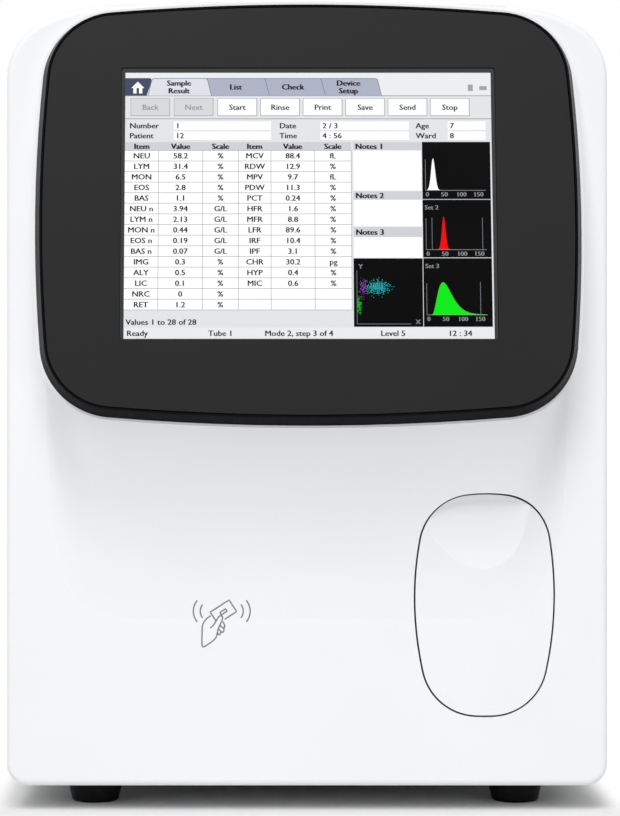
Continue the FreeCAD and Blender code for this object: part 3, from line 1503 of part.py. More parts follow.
def make_switch():
    """The power switch's frame and the rocker that tips in it on two trunnions."""
    front = rear_y + switch_flange_thickness
    flange = centred_block(inlet_x, rear_y, front, switch_z, switch_width + 2 * switch_flange,
                           switch_height + 2 * switch_flange)
    body = centred_block(inlet_x, rear_y - switch_body_depth, rear_y, switch_z, switch_width, switch_height)
    frame = join(soften(flange, least_radius, V(0, 1, 0)), body)
    wide = rocker_width + 2 * seat_gap
    high = rocker_height + 2 * seat_gap
    well_depth = rocker_depth + rocker_stand
    frame = frame.cut(centred_block(inlet_x, front - well_depth, front + cut_over, switch_z, wide, high))
    axis_y = rear_y
    trunnion = rocker_width / 2 + seat_gap + least_radius
    frame = frame.cut(rod(V(inlet_x - trunnion - seat_gap, axis_y, switch_z), V(1, 0, 0),
                          rocker_pin_radius + running_gap, 2 * trunnion + 2 * seat_gap))
    save("power_switch_frame", frame)
    half = rocker_height / 2
    tip = math.tan(math.radians(2 * rocker_tilt)) * half
    back = axis_y - rocker_depth / 2
    face = front + rocker_stand - tip
    x0 = inlet_x - rocker_width / 2
    profile = [V(x0, back, switch_z - half + rocker_stand), V(x0, back, switch_z + half - rocker_stand),
               V(x0, axis_y, switch_z + half - seat_gap), V(x0, front, switch_z + half - 2 * seat_gap),
               V(x0, face, switch_z), V(x0, front + rocker_stand, switch_z - half + 2 * seat_gap),
               V(x0, axis_y, switch_z - half + seat_gap)]
    rocker = Part.Face(Part.makePolygon(profile + profile[:1])).extrude(V(rocker_width, 0, 0))
    pin = rod(V(inlet_x - trunnion, axis_y, switch_z), V(1, 0, 0), rocker_pin_radius, 2 * trunnion)
    save("power_rocker", join(rocker, pin))


def hexagon(x, y, z, radius, length):
    """A hexagonal nut along Y."""
    turns = [2 * math.pi * index / nut_sides for index in range(nut_sides)]
    points = [V(x + radius * math.cos(turn), y, z + radius * math.sin(turn)) for turn in turns]
    return Part.Face(Part.makePolygon(points + points[:1])).extrude(V(0, length, 0))


def make_ports():
    """Barbed hose fittings for reagents and waste, through the rear panel."""
    fittings = []
    end = depth / 2
    for x, z in port_places():
        nut = hexagon(x, rear_y, z, port_hex_radius, port_hex_length)
        inner = rod(V(x, rear_y - port_inner_length, z), V(0, 1, 0), port_thread_radius, port_inner_length)
        stem_start = rear_y + port_hex_length
        stem = rod(V(x, stem_start, z), V(0, 1, 0), port_barb_radius, end - stem_start)
        fitting = join(nut, inner, stem)
        for y in (end - barb_length, end - 2 * barb_length):
            barb = Part.makeCone(port_barb_radius + barb_step, port_barb_radius, barb_length, V(x, y, z),
                                 V(0, 1, 0))
            fitting = fitting.fuse(barb)
        bore = rod(V(x, rear_y - port_inner_length - cut_over, z), V(0, 1, 0), port_bore_radius, depth)
        fittings.append(fitting.cut(bore).removeSplitter())
    save("hose_fittings", *fittings)


def make_data_ports():
    """Stacked serial sockets and one network socket in a row, on their board and bracket."""
    sockets = []
    y1 = rear_y + port_stand
    for x, z in usb_places():
        shell = centred_block(x, y1 - usb_depth, y1, z, usb_width, usb_height)
        for side in (-1, 1):
            level = z + side * usb_height / 2 / 2
            wide = usb_width - 2 * usb_wall
            high = usb_height / 2 - 2 * usb_wall
            shell = shell.cut(centred_block(x, y1 - usb_well_depth, y1 + cut_over, level, wide, high))
            shell = shell.fuse(centred_block(x, y1 - usb_depth, y1 - usb_wall, level, wide - 2 * usb_wall,
                                             usb_tongue))
        sockets.append(shell.removeSplitter())
    net_x = data_x + usb_count * usb_pitch
    socket = centred_block(net_x, y1 - usb_depth, y1, data_z, net_width, net_height)
    socket = socket.cut(centred_block(net_x, y1 - usb_well_depth, y1 + cut_over, data_z,
                                      net_width - 2 * net_wall, net_height - 2 * net_floor))
    sockets.append(socket)
    y0 = y1 - usb_depth
    board = block(data_x - usb_pitch / 2, net_x + usb_pitch / 2, y0 - board_thickness, y0,
                  data_z - usb_height, data_z + usb_height)
    arm = block(data_x - usb_pitch / 2 - usb_depth, data_x - usb_pitch / 2, y0 - board_thickness, y0,
                data_z - usb_height, data_z + usb_height)
    post = block(data_x - usb_pitch / 2 - usb_depth, data_x - usb_pitch / 2 - usb_depth + tray_thickness,
                 y0 - board_thickness, panel_inner_y, data_z - usb_height, data_z + usb_height)
    save("data_sockets", join(board, arm, post), *sockets)


def make_stud():
    """The earth stud with its nut."""
    stud = rod(V(stud_x, rear_y - stud_length / 2, stud_z), V(0, 1, 0), stud_radius, stud_length)
    nut = hexagon(stud_x, rear_y, stud_z, stud_nut_radius, stud_nut_height)
    save("earth_stud", join(stud, nut))


def make_valves():
    """A manifold on the chassis plate with a row of pinch valves."""
    x0 = manifold_x - manifold_width / 2
    z_mid = manifold_z + manifold_height / 2
    manifold = block(x0, x0 + manifold_width, plate_rear_y, plate_rear_y + manifold_depth,
                     manifold_z, manifold_z + manifold_height)
    valves = []
    for index in range(valve_count):
        x = manifold_x + (index - (valve_count - 1) / 2) * valve_pitch
        y = plate_rear_y + manifold_depth
        body = centred_block(x, y, y + valve_length, z_mid, valve_side, valve_side)
        spade = centred_block(x, y + valve_length, y + valve_length + valve_spade, z_mid,
                              valve_side / 2, board_thickness)
        valves.append(join(body, spade))
        manifold = manifold.cut(upright(x, y - manifold_depth / 2, manifold_z + manifold_height / 2,
                                        manifold_z + manifold_height + cut_over, cell_bore_radius))
    save("valve_manifold", manifold)
    save("solenoid_valves", *valves)


def make_pump():
    """The vacuum pump: a motor, a square head and two hose ports, on a foot."""
    y = plate_rear_y + pump_behind_plate
    axis_z = tray_top + pump_foot_thickness + pump_head_side / 2
    head = block(pump_x - pump_head_side / 2, pump_x + pump_head_side / 2, y, y + pump_head_depth,
                 tray_top + pump_foot_thickness, tray_top + pump_foot_thickness + pump_head_side)
    head = soften(head, fan_corner_radius, V(0, 1, 0))
    motor = rod(V(pump_x, y + pump_head_depth, axis_z), V(0, 1, 0), pump_motor_radius, pump_motor_length)
    foot = block(pump_x - pump_head_side / 2, pump_x + pump_head_side / 2, y,
                 y + pump_head_depth + pump_motor_length, tray_top, tray_top + pump_foot_thickness)
    rib = block(pump_x - tray_thickness, pump_x + tray_thickness, y + pump_head_depth,
                y + pump_head_depth + pump_motor_length, tray_top, axis_z)
    pump = join(head, motor, foot, rib)
    top = tray_top + pump_foot_thickness + pump_head_side
    for side in (-1, 1):
        port = upright(pump_x + side * pump_port_offset, y + pump_head_depth / 2, top - least_radius,
                       top + pump_port_length, pump_port_radius)
        pump = pump.fuse(port)
    save("vacuum_pump", pump.removeSplitter())


def make_bottles():
    """The waste chamber and the reagent heater, both turned."""
    x, y = waste_x, panel_inner_y - waste_before_panel
    shoulder_z = tray_top + waste_height - waste_shoulder
    body = upright(x, y, tray_top, shoulder_z, waste_radius)
    shoulder = Part.makeCone(waste_radius, waste_cap_radius, waste_shoulder, V(x, y, shoulder_z))
    cap = upright(x, y, shoulder_z + waste_shoulder, shoulder_z + waste_shoulder + waste_cap_height,
                  waste_cap_radius)
    save("waste_chamber", join(body, shoulder, cap))
    x, y = heater_x, plate_rear_y + heater_behind_plate
    base = block(x - heater_radius, x + heater_radius, y - heater_radius, y + heater_radius,
                 tray_top, tray_top + heater_base)
    can = upright(x, y, tray_top + heater_base, tray_top + heater_height, heater_radius)
    parts = [can]
    for side in (-1, 1):
        parts.append(upright(x + side * heater_radius / 2, y, tray_top + heater_height,
                             tray_top + heater_height + heater_port_length, heater_port_radius))
    save("reagent_heater", join(base, *parts))


def main():
    os.makedirs("parts", exist_ok=True)
    hollow = front_hollow()
    shell = front_block().cut(hollow)
    make_front(shell)
    make_door(shell)
    make_hinge_pins()
    make_liner(hollow)
    make_door_magnet()
    make_tube_holder()
    make_covers()
    make_rear_panel()
    make_tray()
    make_feet()
    make_case_screws()
    make_housing()
    make_fascia()
    make_screen()
    make_card_reader()
    make_chassis()
    make_gantry()
    make_carriage()
    make_probe()
    make_baths()
    make_syringes()
    make_optics()
    make_boards()
    make_fan()
    make_inlet()
    make_switch()
    make_ports()
    make_data_ports()
    make_stud()
    make_valves()
    make_pump()
    make_bottles()


main()
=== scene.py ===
"""A bench-top cell counter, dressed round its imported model.

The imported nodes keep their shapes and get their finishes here. New pieces are the
picture on the screen, the card symbol on the front cover and the marks on the switch.
"""

import math

import bpy
import numpy as np
from bpy.props import FloatProperty, FloatVectorProperty, IntProperty, PointerProperty
from bpy.types import Operator, Panel, PropertyGroup
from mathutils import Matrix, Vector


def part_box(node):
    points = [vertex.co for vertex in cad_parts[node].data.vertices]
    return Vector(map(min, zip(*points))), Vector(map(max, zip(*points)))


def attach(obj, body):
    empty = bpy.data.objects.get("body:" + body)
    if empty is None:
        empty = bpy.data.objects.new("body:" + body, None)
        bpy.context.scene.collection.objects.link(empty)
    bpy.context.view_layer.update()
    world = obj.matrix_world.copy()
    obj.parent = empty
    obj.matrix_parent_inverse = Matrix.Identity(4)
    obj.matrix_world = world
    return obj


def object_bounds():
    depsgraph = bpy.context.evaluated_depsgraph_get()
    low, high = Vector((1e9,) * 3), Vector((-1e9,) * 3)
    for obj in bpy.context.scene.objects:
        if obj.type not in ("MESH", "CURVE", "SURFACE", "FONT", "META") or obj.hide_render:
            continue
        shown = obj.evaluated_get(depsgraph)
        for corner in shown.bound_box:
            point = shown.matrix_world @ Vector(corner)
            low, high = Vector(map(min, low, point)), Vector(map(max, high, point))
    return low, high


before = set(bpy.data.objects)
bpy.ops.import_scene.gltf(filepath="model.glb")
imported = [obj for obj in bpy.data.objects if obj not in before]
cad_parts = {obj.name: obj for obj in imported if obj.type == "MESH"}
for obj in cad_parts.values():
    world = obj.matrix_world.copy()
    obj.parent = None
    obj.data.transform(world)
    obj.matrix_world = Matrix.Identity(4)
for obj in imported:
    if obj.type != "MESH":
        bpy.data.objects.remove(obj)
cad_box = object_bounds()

bl_info = {
    "name": "Bench cell counter",
    "version": (1, 0, 0),
    "blender": (4, 5, 0),
    "location": "3D View > Sidebar > Counter",
    "description": "Finishes and printed pieces of a bench-top cell counter",
    "category": "Object",
}

MM = 0.001
MICRON = 0.000001

packed_slots = {
    name: [place.material.name for place in node.material_slots]
    for name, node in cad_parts.items()
}


def tone(red, green, blue):
    """A screen colour of 0 to 255 a channel as linear light.

    Each channel is taken as a share of 255, raised by 0.055, divided by 1.055 and put to
    the power 2.4.
    """
    shares = (np.array([red, green, blue]) / 255.0 + 0.055) / 1.055
    return tuple(float(share) for share in shares**2.4)


def colour_property(label, words, value):
    """A colour that the user can change."""
    return FloatVectorProperty(
        name=label, description=words, default=value, subtype="COLOR", size=3, min=0.0, max=1.0
    )


def length_property(label, words, millimetres):
    """A length that the user can change."""
    return FloatProperty(
        name=label, description=words, default=millimetres * MM, unit="LENGTH", precision=5
    )


def place_property(label, words, metres):
    """A place in the room that the user can change."""
    return FloatVectorProperty(name=label, description=words, default=metres, subtype="TRANSLATION")


class CounterColours(PropertyGroup):
    """Colours of the finishes, in linear light."""

    cover: colour_property("Cover", "Moulded front and door", (0.83, 0.835, 0.845))
    paint: colour_property("Paint", "Powder paint of top and sides", (0.82, 0.825, 0.835))
    rear: colour_property("Rear paint", "Powder paint of the rear and base", (0.5, 0.51, 0.52))
    liner: colour_property("Liner", "Walls of the sample compartment", (0.6, 0.61, 0.62))
    rim: colour_property("Pod rim", "Glossy bevel round the display", (0.004, 0.004, 0.005))
    fascia: colour_property("Face plate", "Dark plate round the screen", (0.0138, 0.0138, 0.0143))
    glass: colour_property("Glass", "Dark touch glass", (0.012, 0.013, 0.016))
    holder: colour_property("Holder", "Machined black plastic", (0.024, 0.026, 0.031))
    black: colour_property("Black plastic", "Fan, inlet and switch", (0.016, 0.016, 0.018))
    enamel: colour_property("Enamel", "Motors, pump and valves", (0.028, 0.028, 0.031))
    machined: colour_property("Machined alloy", "Bead-blasted blocks", (0.66, 0.67, 0.69))
    steel: colour_property("Steel", "Ground rods, pins and screws", (0.56, 0.56, 0.57))
    brass: colour_property("Brass", "Earth stud", (0.72, 0.5, 0.2))
    rubber: colour_property("Rubber", "Feet and seals", (0.006, 0.006, 0.0065))
    board: colour_property("Board", "Lacquered circuit board", (0.01, 0.09, 0.035))
    board_track: colour_property("Board tracks", "Copper under green lacquer", (0.03, 0.19, 0.07))
    bath: colour_property("Bath plastic", "Milky chemical-proof plastic", (0.68, 0.69, 0.68))
    tube: colour_property("Clear tube", "Glass barrels", (0.9, 0.93, 0.93))
    ink: colour_property("Ink", "Grey print on the cover", (0.165, 0.168, 0.173))
    mark: colour_property("Mark", "White marks on the switch", (0.8, 0.8, 0.8))
    cap_first: colour_property("First fitting", "First hose fitting", (0.02, 0.12, 0.42))
    cap_second: colour_property("Second fitting", "Second hose fitting", (0.62, 0.4, 0.03))
    cap_third: colour_property("Third fitting", "Third hose fitting", (0.03, 0.33, 0.1))
    cap_fourth: colour_property("Fourth fitting", "Fourth hose fitting", (0.5, 0.05, 0.04))


class CounterSizes(PropertyGroup):
    """Sizes of the printed pieces and of the surface grain."""

    glass_thickness: length_property("Glass thickness", "Thickness of the touch glass", 1.8)
    film_side: length_property("Film side margin", "Bare glass beside the picture", 2.2)
    film_top: length_property("Film top margin", "Bare glass over the picture", 2.7)
    film_foot: length_property("Film foot margin", "Bare glass under the picture", 0.4)
    film_lift: length_property("Film lift", "Height of the picture's film over the glass", 0.1)
    layer_step: length_property("Layer step", "Height between two layers of the picture", 0.02)
    symbol_x: length_property("Symbol across", "Middle of the card symbol, from the middle", -51.7)
    symbol_z: length_property("Symbol height", "Middle of the card symbol, from the bench", 115.0)
    ink_width: length_property("Ink width", "Width of a printed line", 0.85)
    ink_thickness: length_property("Ink thickness", "Thickness of the print", 0.04)
    mark_width: length_property("Mark width", "Width of a line on the switch", 0.9)
    grain_size: length_property("Grain size", "Grain of the moulded plastic", 0.45)
    paint_grain: length_property("Paint grain", "Grain of the powder paint", 0.9)
    fitting_grain: length_property("Fitting grain", "Grain of the hose fittings", 0.6)
    cloud_size: length_property("Cloud size", "Faint colour clouds of the cabinet", 60.0)
    small_cloud: length_property("Small cloud", "Faint colour clouds of the works", 20.0)
    smear_size: length_property("Smear size", "Faint smears on the glass", 30.0)
    small_smear: length_property("Small smear", "Faint smears on tubes and fittings", 10.0)
    scatter_seed: IntProperty(
        name="Scatter seed", description="Start of the random dots on the screen", default=5, min=0
    )


class CounterStage(PropertyGroup):
    """Camera, lamp and floor."""

    camera_x: length_property("Camera across", "Camera's place from the middle", -38.0)
    camera_y: length_property("Camera depth", "Camera's place before the middle", -1660.4)
    camera_height: length_property("Camera height", "Above the bench", 245.0)
    shift: FloatProperty(name="Shift", description="Sideways framing, in long sides", default=0.0804)
    lens: FloatProperty(name="Lens", description="Focal length in millimetres", default=109.2)
    sensor: FloatProperty(name="Sensor", description="Long side in millimetres", default=36.0)
    world_light: FloatProperty(name="World light", description="Even light all round", default=0.54)
    key_power: FloatProperty(
        name="Key lamp", description="Lamp over the front left", default=250.0, unit="POWER"
    )
    key_side: length_property("Key lamp side", "Side of the square lamp", 3200.0)
    key_place: place_property("Key lamp place", "Middle of the lamp", (-0.6, -4.4, 4.8))
    key_aim: place_property("Key lamp aim", "Point that the lamp looks at", (0.0, 0.0, 0.2))
    floor_colour: colour_property("Floor", "Pale floor", (0.88, 0.88, 0.88))
    floor_half: length_property("Floor half side", "Half the side of the floor", 20000.0)
    shadow_reach: length_property("Shadow reach", "How far the floor keeps the shadow", 16.0)


def chosen_colours():
    """The scene's colours."""
    return bpy.context.scene.counter_colours


def chosen_sizes():
    """The scene's sizes."""
    return bpy.context.scene.counter_sizes


def chosen_stage():
    """The scene's values of camera, lamp and floor."""
    return bpy.context.scene.counter_stage


# Nodes and node groups shared by the materials

VECTOR = "NodeSocketVector"
NUMBER = "NodeSocketFloat"
COLOUR = "NodeSocketColor"
MIX_FACTOR = 0
MIX_FIRST = 6
MIX_SECOND = 7
MIX_RESULT = 2
NOISE_LOW = 0.3
NOISE_HIGH = 0.7
COLOUR_DETAIL = 3.0
GLOSS_DETAIL = 4.0
GRAIN_DETAIL = 2.0
LINE_DETAIL = 4.0
CELL_SHARE = 0.7
CELL_WEIGHT = 0.5


def add_node(tree, kind, values=(), **choices):
    """A new node with its choices set, and with values on its inputs by name or place."""
    node = tree.nodes.new(kind)
    for name, choice in choices.items():
        setattr(node, name, choice)
    for socket, value in dict(values).items():
        node.inputs[socket].default_value = value
    return node


def wire(tree, *links):
    """Joins each output socket to its input socket."""
    for start, end in links:
        tree.links.new(start, end)


def new_group(name, inputs, outputs):
    """An empty node group with the named sockets, and its input and output nodes."""
    group = bpy.data.node_groups.new(name, "ShaderNodeTree")
    for direction, sockets in (("INPUT", inputs), ("OUTPUT", outputs)):
        for label, kind in sockets.items():
            group.interface.new_socket(name=label, in_out=direction, socket_type=kind)
    return group, group.nodes.new("NodeGroupInput"), group.nodes.new("NodeGroupOutput")


def scaled_by_size(group, entry, node, share):
    """Gives a texture node the position, and as its scale a share over the Size input."""
    scale = add_node(group, "ShaderNodeMath", {0: share}, operation="DIVIDE")
    wire(
        group,
        (entry.outputs["Size"], scale.inputs[1]),
        (scale.outputs[0], node.inputs["Scale"]),
        (entry.outputs["Position"], node.inputs["Vector"]),
    )


def cloud_noise(group, entry, detail):
    """Noise whose size in metres is the group's Size input; gives its value."""
    noise = add_node(group, "ShaderNodeTexNoise", {"Detail": detail})
    scaled_by_size(group, entry, noise, 1.0)
    return noise.outputs["Fac"]


def spread_noise(group, entry, detail):
    """Cloud noise whose middle values are spread over a whole range; gives the range node."""
    spread = add_node(group, "ShaderNodeMapRange", {"From Min": NOISE_LOW, "From Max": NOISE_HIGH})
    wire(group, (cloud_noise(group, entry, detail), spread.inputs["Value"]))
    return spread


def make_colour_drift():
    """Clouds between two colours: noise is spread to 0 to 1 and mixes them."""
    group, entry, leave = new_group(
        "Colour drift",
        {"Position": VECTOR, "Size": NUMBER, "Colour": COLOUR, "Shade": COLOUR},
        {"Colour": COLOUR},
    )
    spread = spread_noise(group, entry, COLOUR_DETAIL)
    mix = add_node(group, "ShaderNodeMix", data_type="RGBA")
    wire(
        group,
        (spread.outputs["Result"], mix.inputs[MIX_FACTOR]),
        (entry.outputs["Colour"], mix.inputs[MIX_FIRST]),
        (entry.outputs["Shade"], mix.inputs[MIX_SECOND]),
        (mix.outputs[MIX_RESULT], leave.inputs["Colour"]),
    )
    return group


def make_gloss_drift():
    """Clouds of gloss: noise is spread between a low and a high roughness."""
    group, entry, leave = new_group(
        "Gloss drift",
        {"Position": VECTOR, "Size": NUMBER, "Low": NUMBER, "High": NUMBER},
        {"Roughness": NUMBER},
    )
    spread = spread_noise(group, entry, GLOSS_DETAIL)
    wire(
        group,
        (entry.outputs["Low"], spread.inputs["To Min"]),
        (entry.outputs["High"], spread.inputs["To Max"]),
        (spread.outputs["Result"], leave.inputs["Roughness"]),
    )
    return group


def make_moulded_grain():
    """Fine spark-eroded grain: noise plus a share of the distance to scattered cells."""
    group, entry, leave = new_group(
        "Moulded grain", {"Position": VECTOR, "Size": NUMBER}, {"Height": NUMBER}
    )
    cells = add_node(group, "ShaderNodeTexVoronoi")
    scaled_by_size(group, entry, cells, CELL_SHARE)
    total = add_node(group, "ShaderNodeMath", {1: CELL_WEIGHT}, operation="MULTIPLY_ADD")
    wire(
        group,
        (cells.outputs["Distance"], total.inputs[0]),
        (cloud_noise(group, entry, GRAIN_DETAIL), total.inputs[2]),
        (total.outputs[0], leave.inputs["Height"]),
    )
    return group


def make_brushed_lines():
    """Fine tool lines: noise drawn out along one axis of the position."""
    group, entry, leave = new_group(
        "Brushed lines",
        {"Position": VECTOR, "Stretch": VECTOR, "Low": NUMBER, "High": NUMBER},
        {"Height": NUMBER, "Roughness": NUMBER},
    )
    drawn = add_node(group, "ShaderNodeVectorMath", operation="MULTIPLY")
    noise = add_node(group, "ShaderNodeTexNoise", {"Scale": 1.0, "Detail": LINE_DETAIL})
    spread = add_node(group, "ShaderNodeMapRange")
    wire(
        group,
        (entry.outputs["Position"], drawn.inputs[0]),
        (entry.outputs["Stretch"], drawn.inputs[1]),
        (drawn.outputs["Vector"], noise.inputs["Vector"]),
        (noise.outputs["Fac"], spread.inputs["Value"]),
        (entry.outputs["Low"], spread.inputs["To Min"]),
        (entry.outputs["High"], spread.inputs["To Max"]),
        (noise.outputs["Fac"], leave.inputs["Height"]),
        (spread.outputs["Result"], leave.inputs["Roughness"]),
    )
    return group


GROUP_MAKERS = {
    "Colour drift": make_colour_drift,
    "Gloss drift": make_gloss_drift,
    "Moulded grain": make_moulded_grain,
    "Brushed lines": make_brushed_lines,
}


def placed_group(material, name, position, **values):
    """One of the shared groups, built once, put into a material with its own values."""
    group = bpy.data.node_groups.get(name)
    if group is None:
        group = GROUP_MAKERS[name]()
    node = add_node(material.node_tree, "ShaderNodeGroup", node_tree=group)
    wire(material.node_tree, (position, node.inputs["Position"]))
    for label, value in values.items():
        node.inputs[label].default_value = value
    return node


# Materials

PLAIN_SPECULAR = 0.5
METAL_SHADE = 0.88
CLEAR_SHARE = 0.9
TRACK_SCALE = 120.0
TRACK_WIDTH = 0.06
TRACK_SHADE = 1.25
TRACK_DEPTH = -30
PLAIN_GREY = (0.5, 0.5, 0.5)
PICTURE_SPECULAR = 0.04
PICTURE_DIM = 0.5
PICTURE_LIGHT = 0.45
BOARD_GLOSS = (0.22, 0.36)
GLASS_GLOSS = (0.05, 0.12)
TUBE_GLOSS = (0.02, 0.06)
PICTURE_GLOSS = (0.22, 0.3)
FITTING_GLOSS = (0.28, 0.42)
FITTING_DEPTH = 10


def full(colour):
    """A colour with full cover added, as colour sockets take it."""
    return (*colour[:3], 1.0)


def shaded(colour, shares):
    """A colour with each channel multiplied by one share, or by its own."""
    return tuple(np.array(colour[:3]) * shares)


def base_material(name, colour, specular=PLAIN_SPECULAR, metallic=0.0):
    """A material with one shader on Object coordinates; gives it, its shader and position."""
    material = bpy.data.materials.new(name)
    material.use_nodes = True
    material.diffuse_color = full(colour)
    tree = material.node_tree
    tree.nodes.clear()
    leave = add_node(tree, "ShaderNodeOutputMaterial")
    shader = add_node(tree, "ShaderNodeBsdfPrincipled", {
        "Base Color": full(colour), "Specular IOR Level": specular, "Metallic": metallic,
    })
    place = add_node(tree, "ShaderNodeTexCoord")
    wire(tree, (shader.outputs["BSDF"], leave.inputs["Surface"]))
    return material, shader, place.outputs["Object"]


def add_drift(material, shader, position, colour, shade, size):
    """Colour that drifts in clouds between a colour and its shade."""
    drift = placed_group(
        material, "Colour drift", position, Size=size, Colour=full(colour), Shade=full(shade)
    )
    wire(material.node_tree, (drift.outputs["Colour"], shader.inputs["Base Color"]))


def add_gloss(material, shader, position, size, gloss):
    """Roughness that drifts in clouds between its two ends."""
    shine = placed_group(material, "Gloss drift", position, Size=size, Low=gloss[0], High=gloss[1])
    wire(material.node_tree, (shine.outputs["Roughness"], shader.inputs["Roughness"]))


def add_bump(material, shader, height, microns):
    """Height of a grain, over a depth in micrometres, as the shader's normal."""
    tree = material.node_tree
    bump = add_node(tree, "ShaderNodeBump", {"Strength": 1.0, "Distance": microns * MICRON})
    wire(tree, (height, bump.inputs["Height"]), (bump.outputs["Normal"], shader.inputs["Normal"]))


def add_grain(material, shader, position, size, microns):
    """The fine grain of a moulding, as the shader's normal."""
    moulding = placed_group(material, "Moulded grain", position, Size=size)
    add_bump(material, shader, moulding.outputs["Height"], microns)


def grained_material(name, colour, shade, gloss, grain, microns, specular, cloud):
    """Moulded plastic, paint or rubber: drifting colour and gloss over a fine grain."""
    material, shader, position = base_material(name, colour, specular)
    add_drift(material, shader, position, colour, shade, cloud)
    add_gloss(material, shader, position, cloud, gloss)
    add_grain(material, shader, position, grain, microns)
    return material


def metal_material(name, colour, gloss, stretch, microns, cloud):
    """Bare metal with fine tool lines."""
    material, shader, position = base_material(name, colour, metallic=1.0)
    add_drift(material, shader, position, colour, shaded(colour, METAL_SHADE), cloud)
    lines = placed_group(
        material, "Brushed lines", position, Stretch=stretch, Low=gloss[0], High=gloss[1]
    )
    wire(material.node_tree, (lines.outputs["Roughness"], shader.inputs["Roughness"]))
    add_bump(material, shader, lines.outputs["Height"], microns)
    return material


def board_material(name, colour, track, cloud):
    """Lacquered board: thin straight tracks, square to each other, under green lacquer."""
    material, shader, position = base_material(name, colour)
    tree = material.node_tree
    bricks = add_node(tree, "ShaderNodeTexBrick", {
        "Scale": TRACK_SCALE, "Mortar Size": TRACK_WIDTH, "Color1": full(colour),
        "Color2": full(shaded(colour, TRACK_SHADE)), "Mortar": full(track),
    })
    wire(
        tree,
        (position, bricks.inputs["Vector"]),
        (bricks.outputs["Color"], shader.inputs["Base Color"]),
    )
    add_gloss(material, shader, position, cloud, BOARD_GLOSS)
    add_bump(material, shader, bricks.outputs["Fac"], TRACK_DEPTH)
    return material


def glass_material(name, colour, gloss, smear, clear=0.0):
    """Glass, dark or clear: smooth, with faint smears in its gloss."""
    material, shader, position = base_material(name, colour)
    shader.inputs["Transmission Weight"].default_value = clear
    add_gloss(material, shader, position, smear, gloss)
    return material


def picture_material(name, smear):
    """The lit picture: its colours come from the mesh, half lit by the room, half by itself."""
    material, shader, position = base_material(name, PLAIN_GREY, PICTURE_SPECULAR)
    tree = material.node_tree
    paint = add_node(tree, "ShaderNodeVertexColor", layer_name="paint")
    dim = add_node(tree, "ShaderNodeMix", data_type="RGBA")
    dim.inputs[MIX_FACTOR].default_value = PICTURE_DIM
    dim.inputs[MIX_SECOND].default_value = full((0.0, 0.0, 0.0))
    wire(
        tree,
        (paint.outputs["Color"], dim.inputs[MIX_FIRST]),
        (dim.outputs[MIX_RESULT], shader.inputs["Base Color"]),
        (paint.outputs["Color"], shader.inputs["Emission Color"]),
    )
    shader.inputs["Emission Strength"].default_value = PICTURE_LIGHT
    add_gloss(material, shader, position, smear, PICTURE_GLOSS)
    return material


def fitting_material(name, bare, caps, edges, sizes):
    """Chemical-proof fittings, one colour each: the place across picks the colour."""
    material, shader, position = base_material(name, bare)
    tree = material.node_tree
    split = add_node(tree, "ShaderNodeSeparateXYZ")
    across = add_node(tree, "ShaderNodeMapRange", {"From Min": edges[0], "From Max": edges[1]})
    ramp = add_node(tree, "ShaderNodeValToRGB")
    ramp.color_ramp.interpolation = "CONSTANT"
    stops = ramp.color_ramp.elements
    while len(stops) < len(caps):
        stops.new(stops[-1].position)
    for number, cap in enumerate(caps):
        stops[number].position = number / len(caps)
        stops[number].color = full(cap)
    wire(
        tree,
        (position, split.inputs["Vector"]),
        (split.outputs["X"], across.inputs["Value"]),
        (across.outputs["Result"], ramp.inputs["Fac"]),
        (ramp.outputs["Color"], shader.inputs["Base Color"]),
    )
    add_gloss(material, shader, position, sizes.small_smear, FITTING_GLOSS)
    add_grain(material, shader, position, sizes.fitting_grain, FITTING_DEPTH)
    return material


def dress_slot(slot_name, material):
    """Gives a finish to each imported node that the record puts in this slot."""
    for name, slots in packed_slots.items():
        for number, held in enumerate(slots):
            if held == slot_name:
                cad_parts[name].material_slots[number].material = material


def dress_node(name, material):
    """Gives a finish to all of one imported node."""
    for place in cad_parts[name].material_slots:
        place.material = material


# The picture's values, in dots from its upper left corner

DOTS_WIDE = 368.0
DOTS_HIGH = 266.0
LAYER_TABLE = 1
LAYER_LINE = 2
LAYER_CURVE = 3
LAYER_TAB = 2
LAYER_WORD = 6

PAGE = tone(225, 226, 228)
STRIP = tone(233, 234, 236)
HOME = tone(70, 75, 98)
TAB_LIGHT = tone(220, 222, 229)
TAB_DULL = tone(172, 177, 194)
TAB_EDGE = tone(132, 137, 160)
LINE = tone(160, 162, 168)
GRID = tone(172, 174, 178)
BUTTON = tone(249, 249, 250)
BUTTON_EDGE = tone(176, 178, 184)
BUTTON_DULL = tone(213, 214, 217)
HEADER = tone(206, 207, 210)
PAPER = tone(253, 253, 253)
INK = tone(10, 10, 13)
INK_DULL = tone(160, 161, 165)
BLACK = tone(4, 4, 5)
CHALK = tone(140, 142, 146)
WHITE_CURVE = tone(250, 250, 250)
RED_CURVE = tone(236, 12, 16)
GREEN_CURVE = tone(14, 232, 24)
CYAN_DOT = tone(44, 186, 190)
VIOLET_DOT = tone(138, 44, 160)
GREEN_DOT = tone(30, 200, 50)

CAPITAL_SHARE = 0.7
LETTER_SPREAD = 1.1
LETTER_STEPS = 2
WORD_SIZE = 7.8
SMALL_SIZE = 6.2
WORD_INSET = 2
PLAIN = 0.42
HEAVY = 0.85

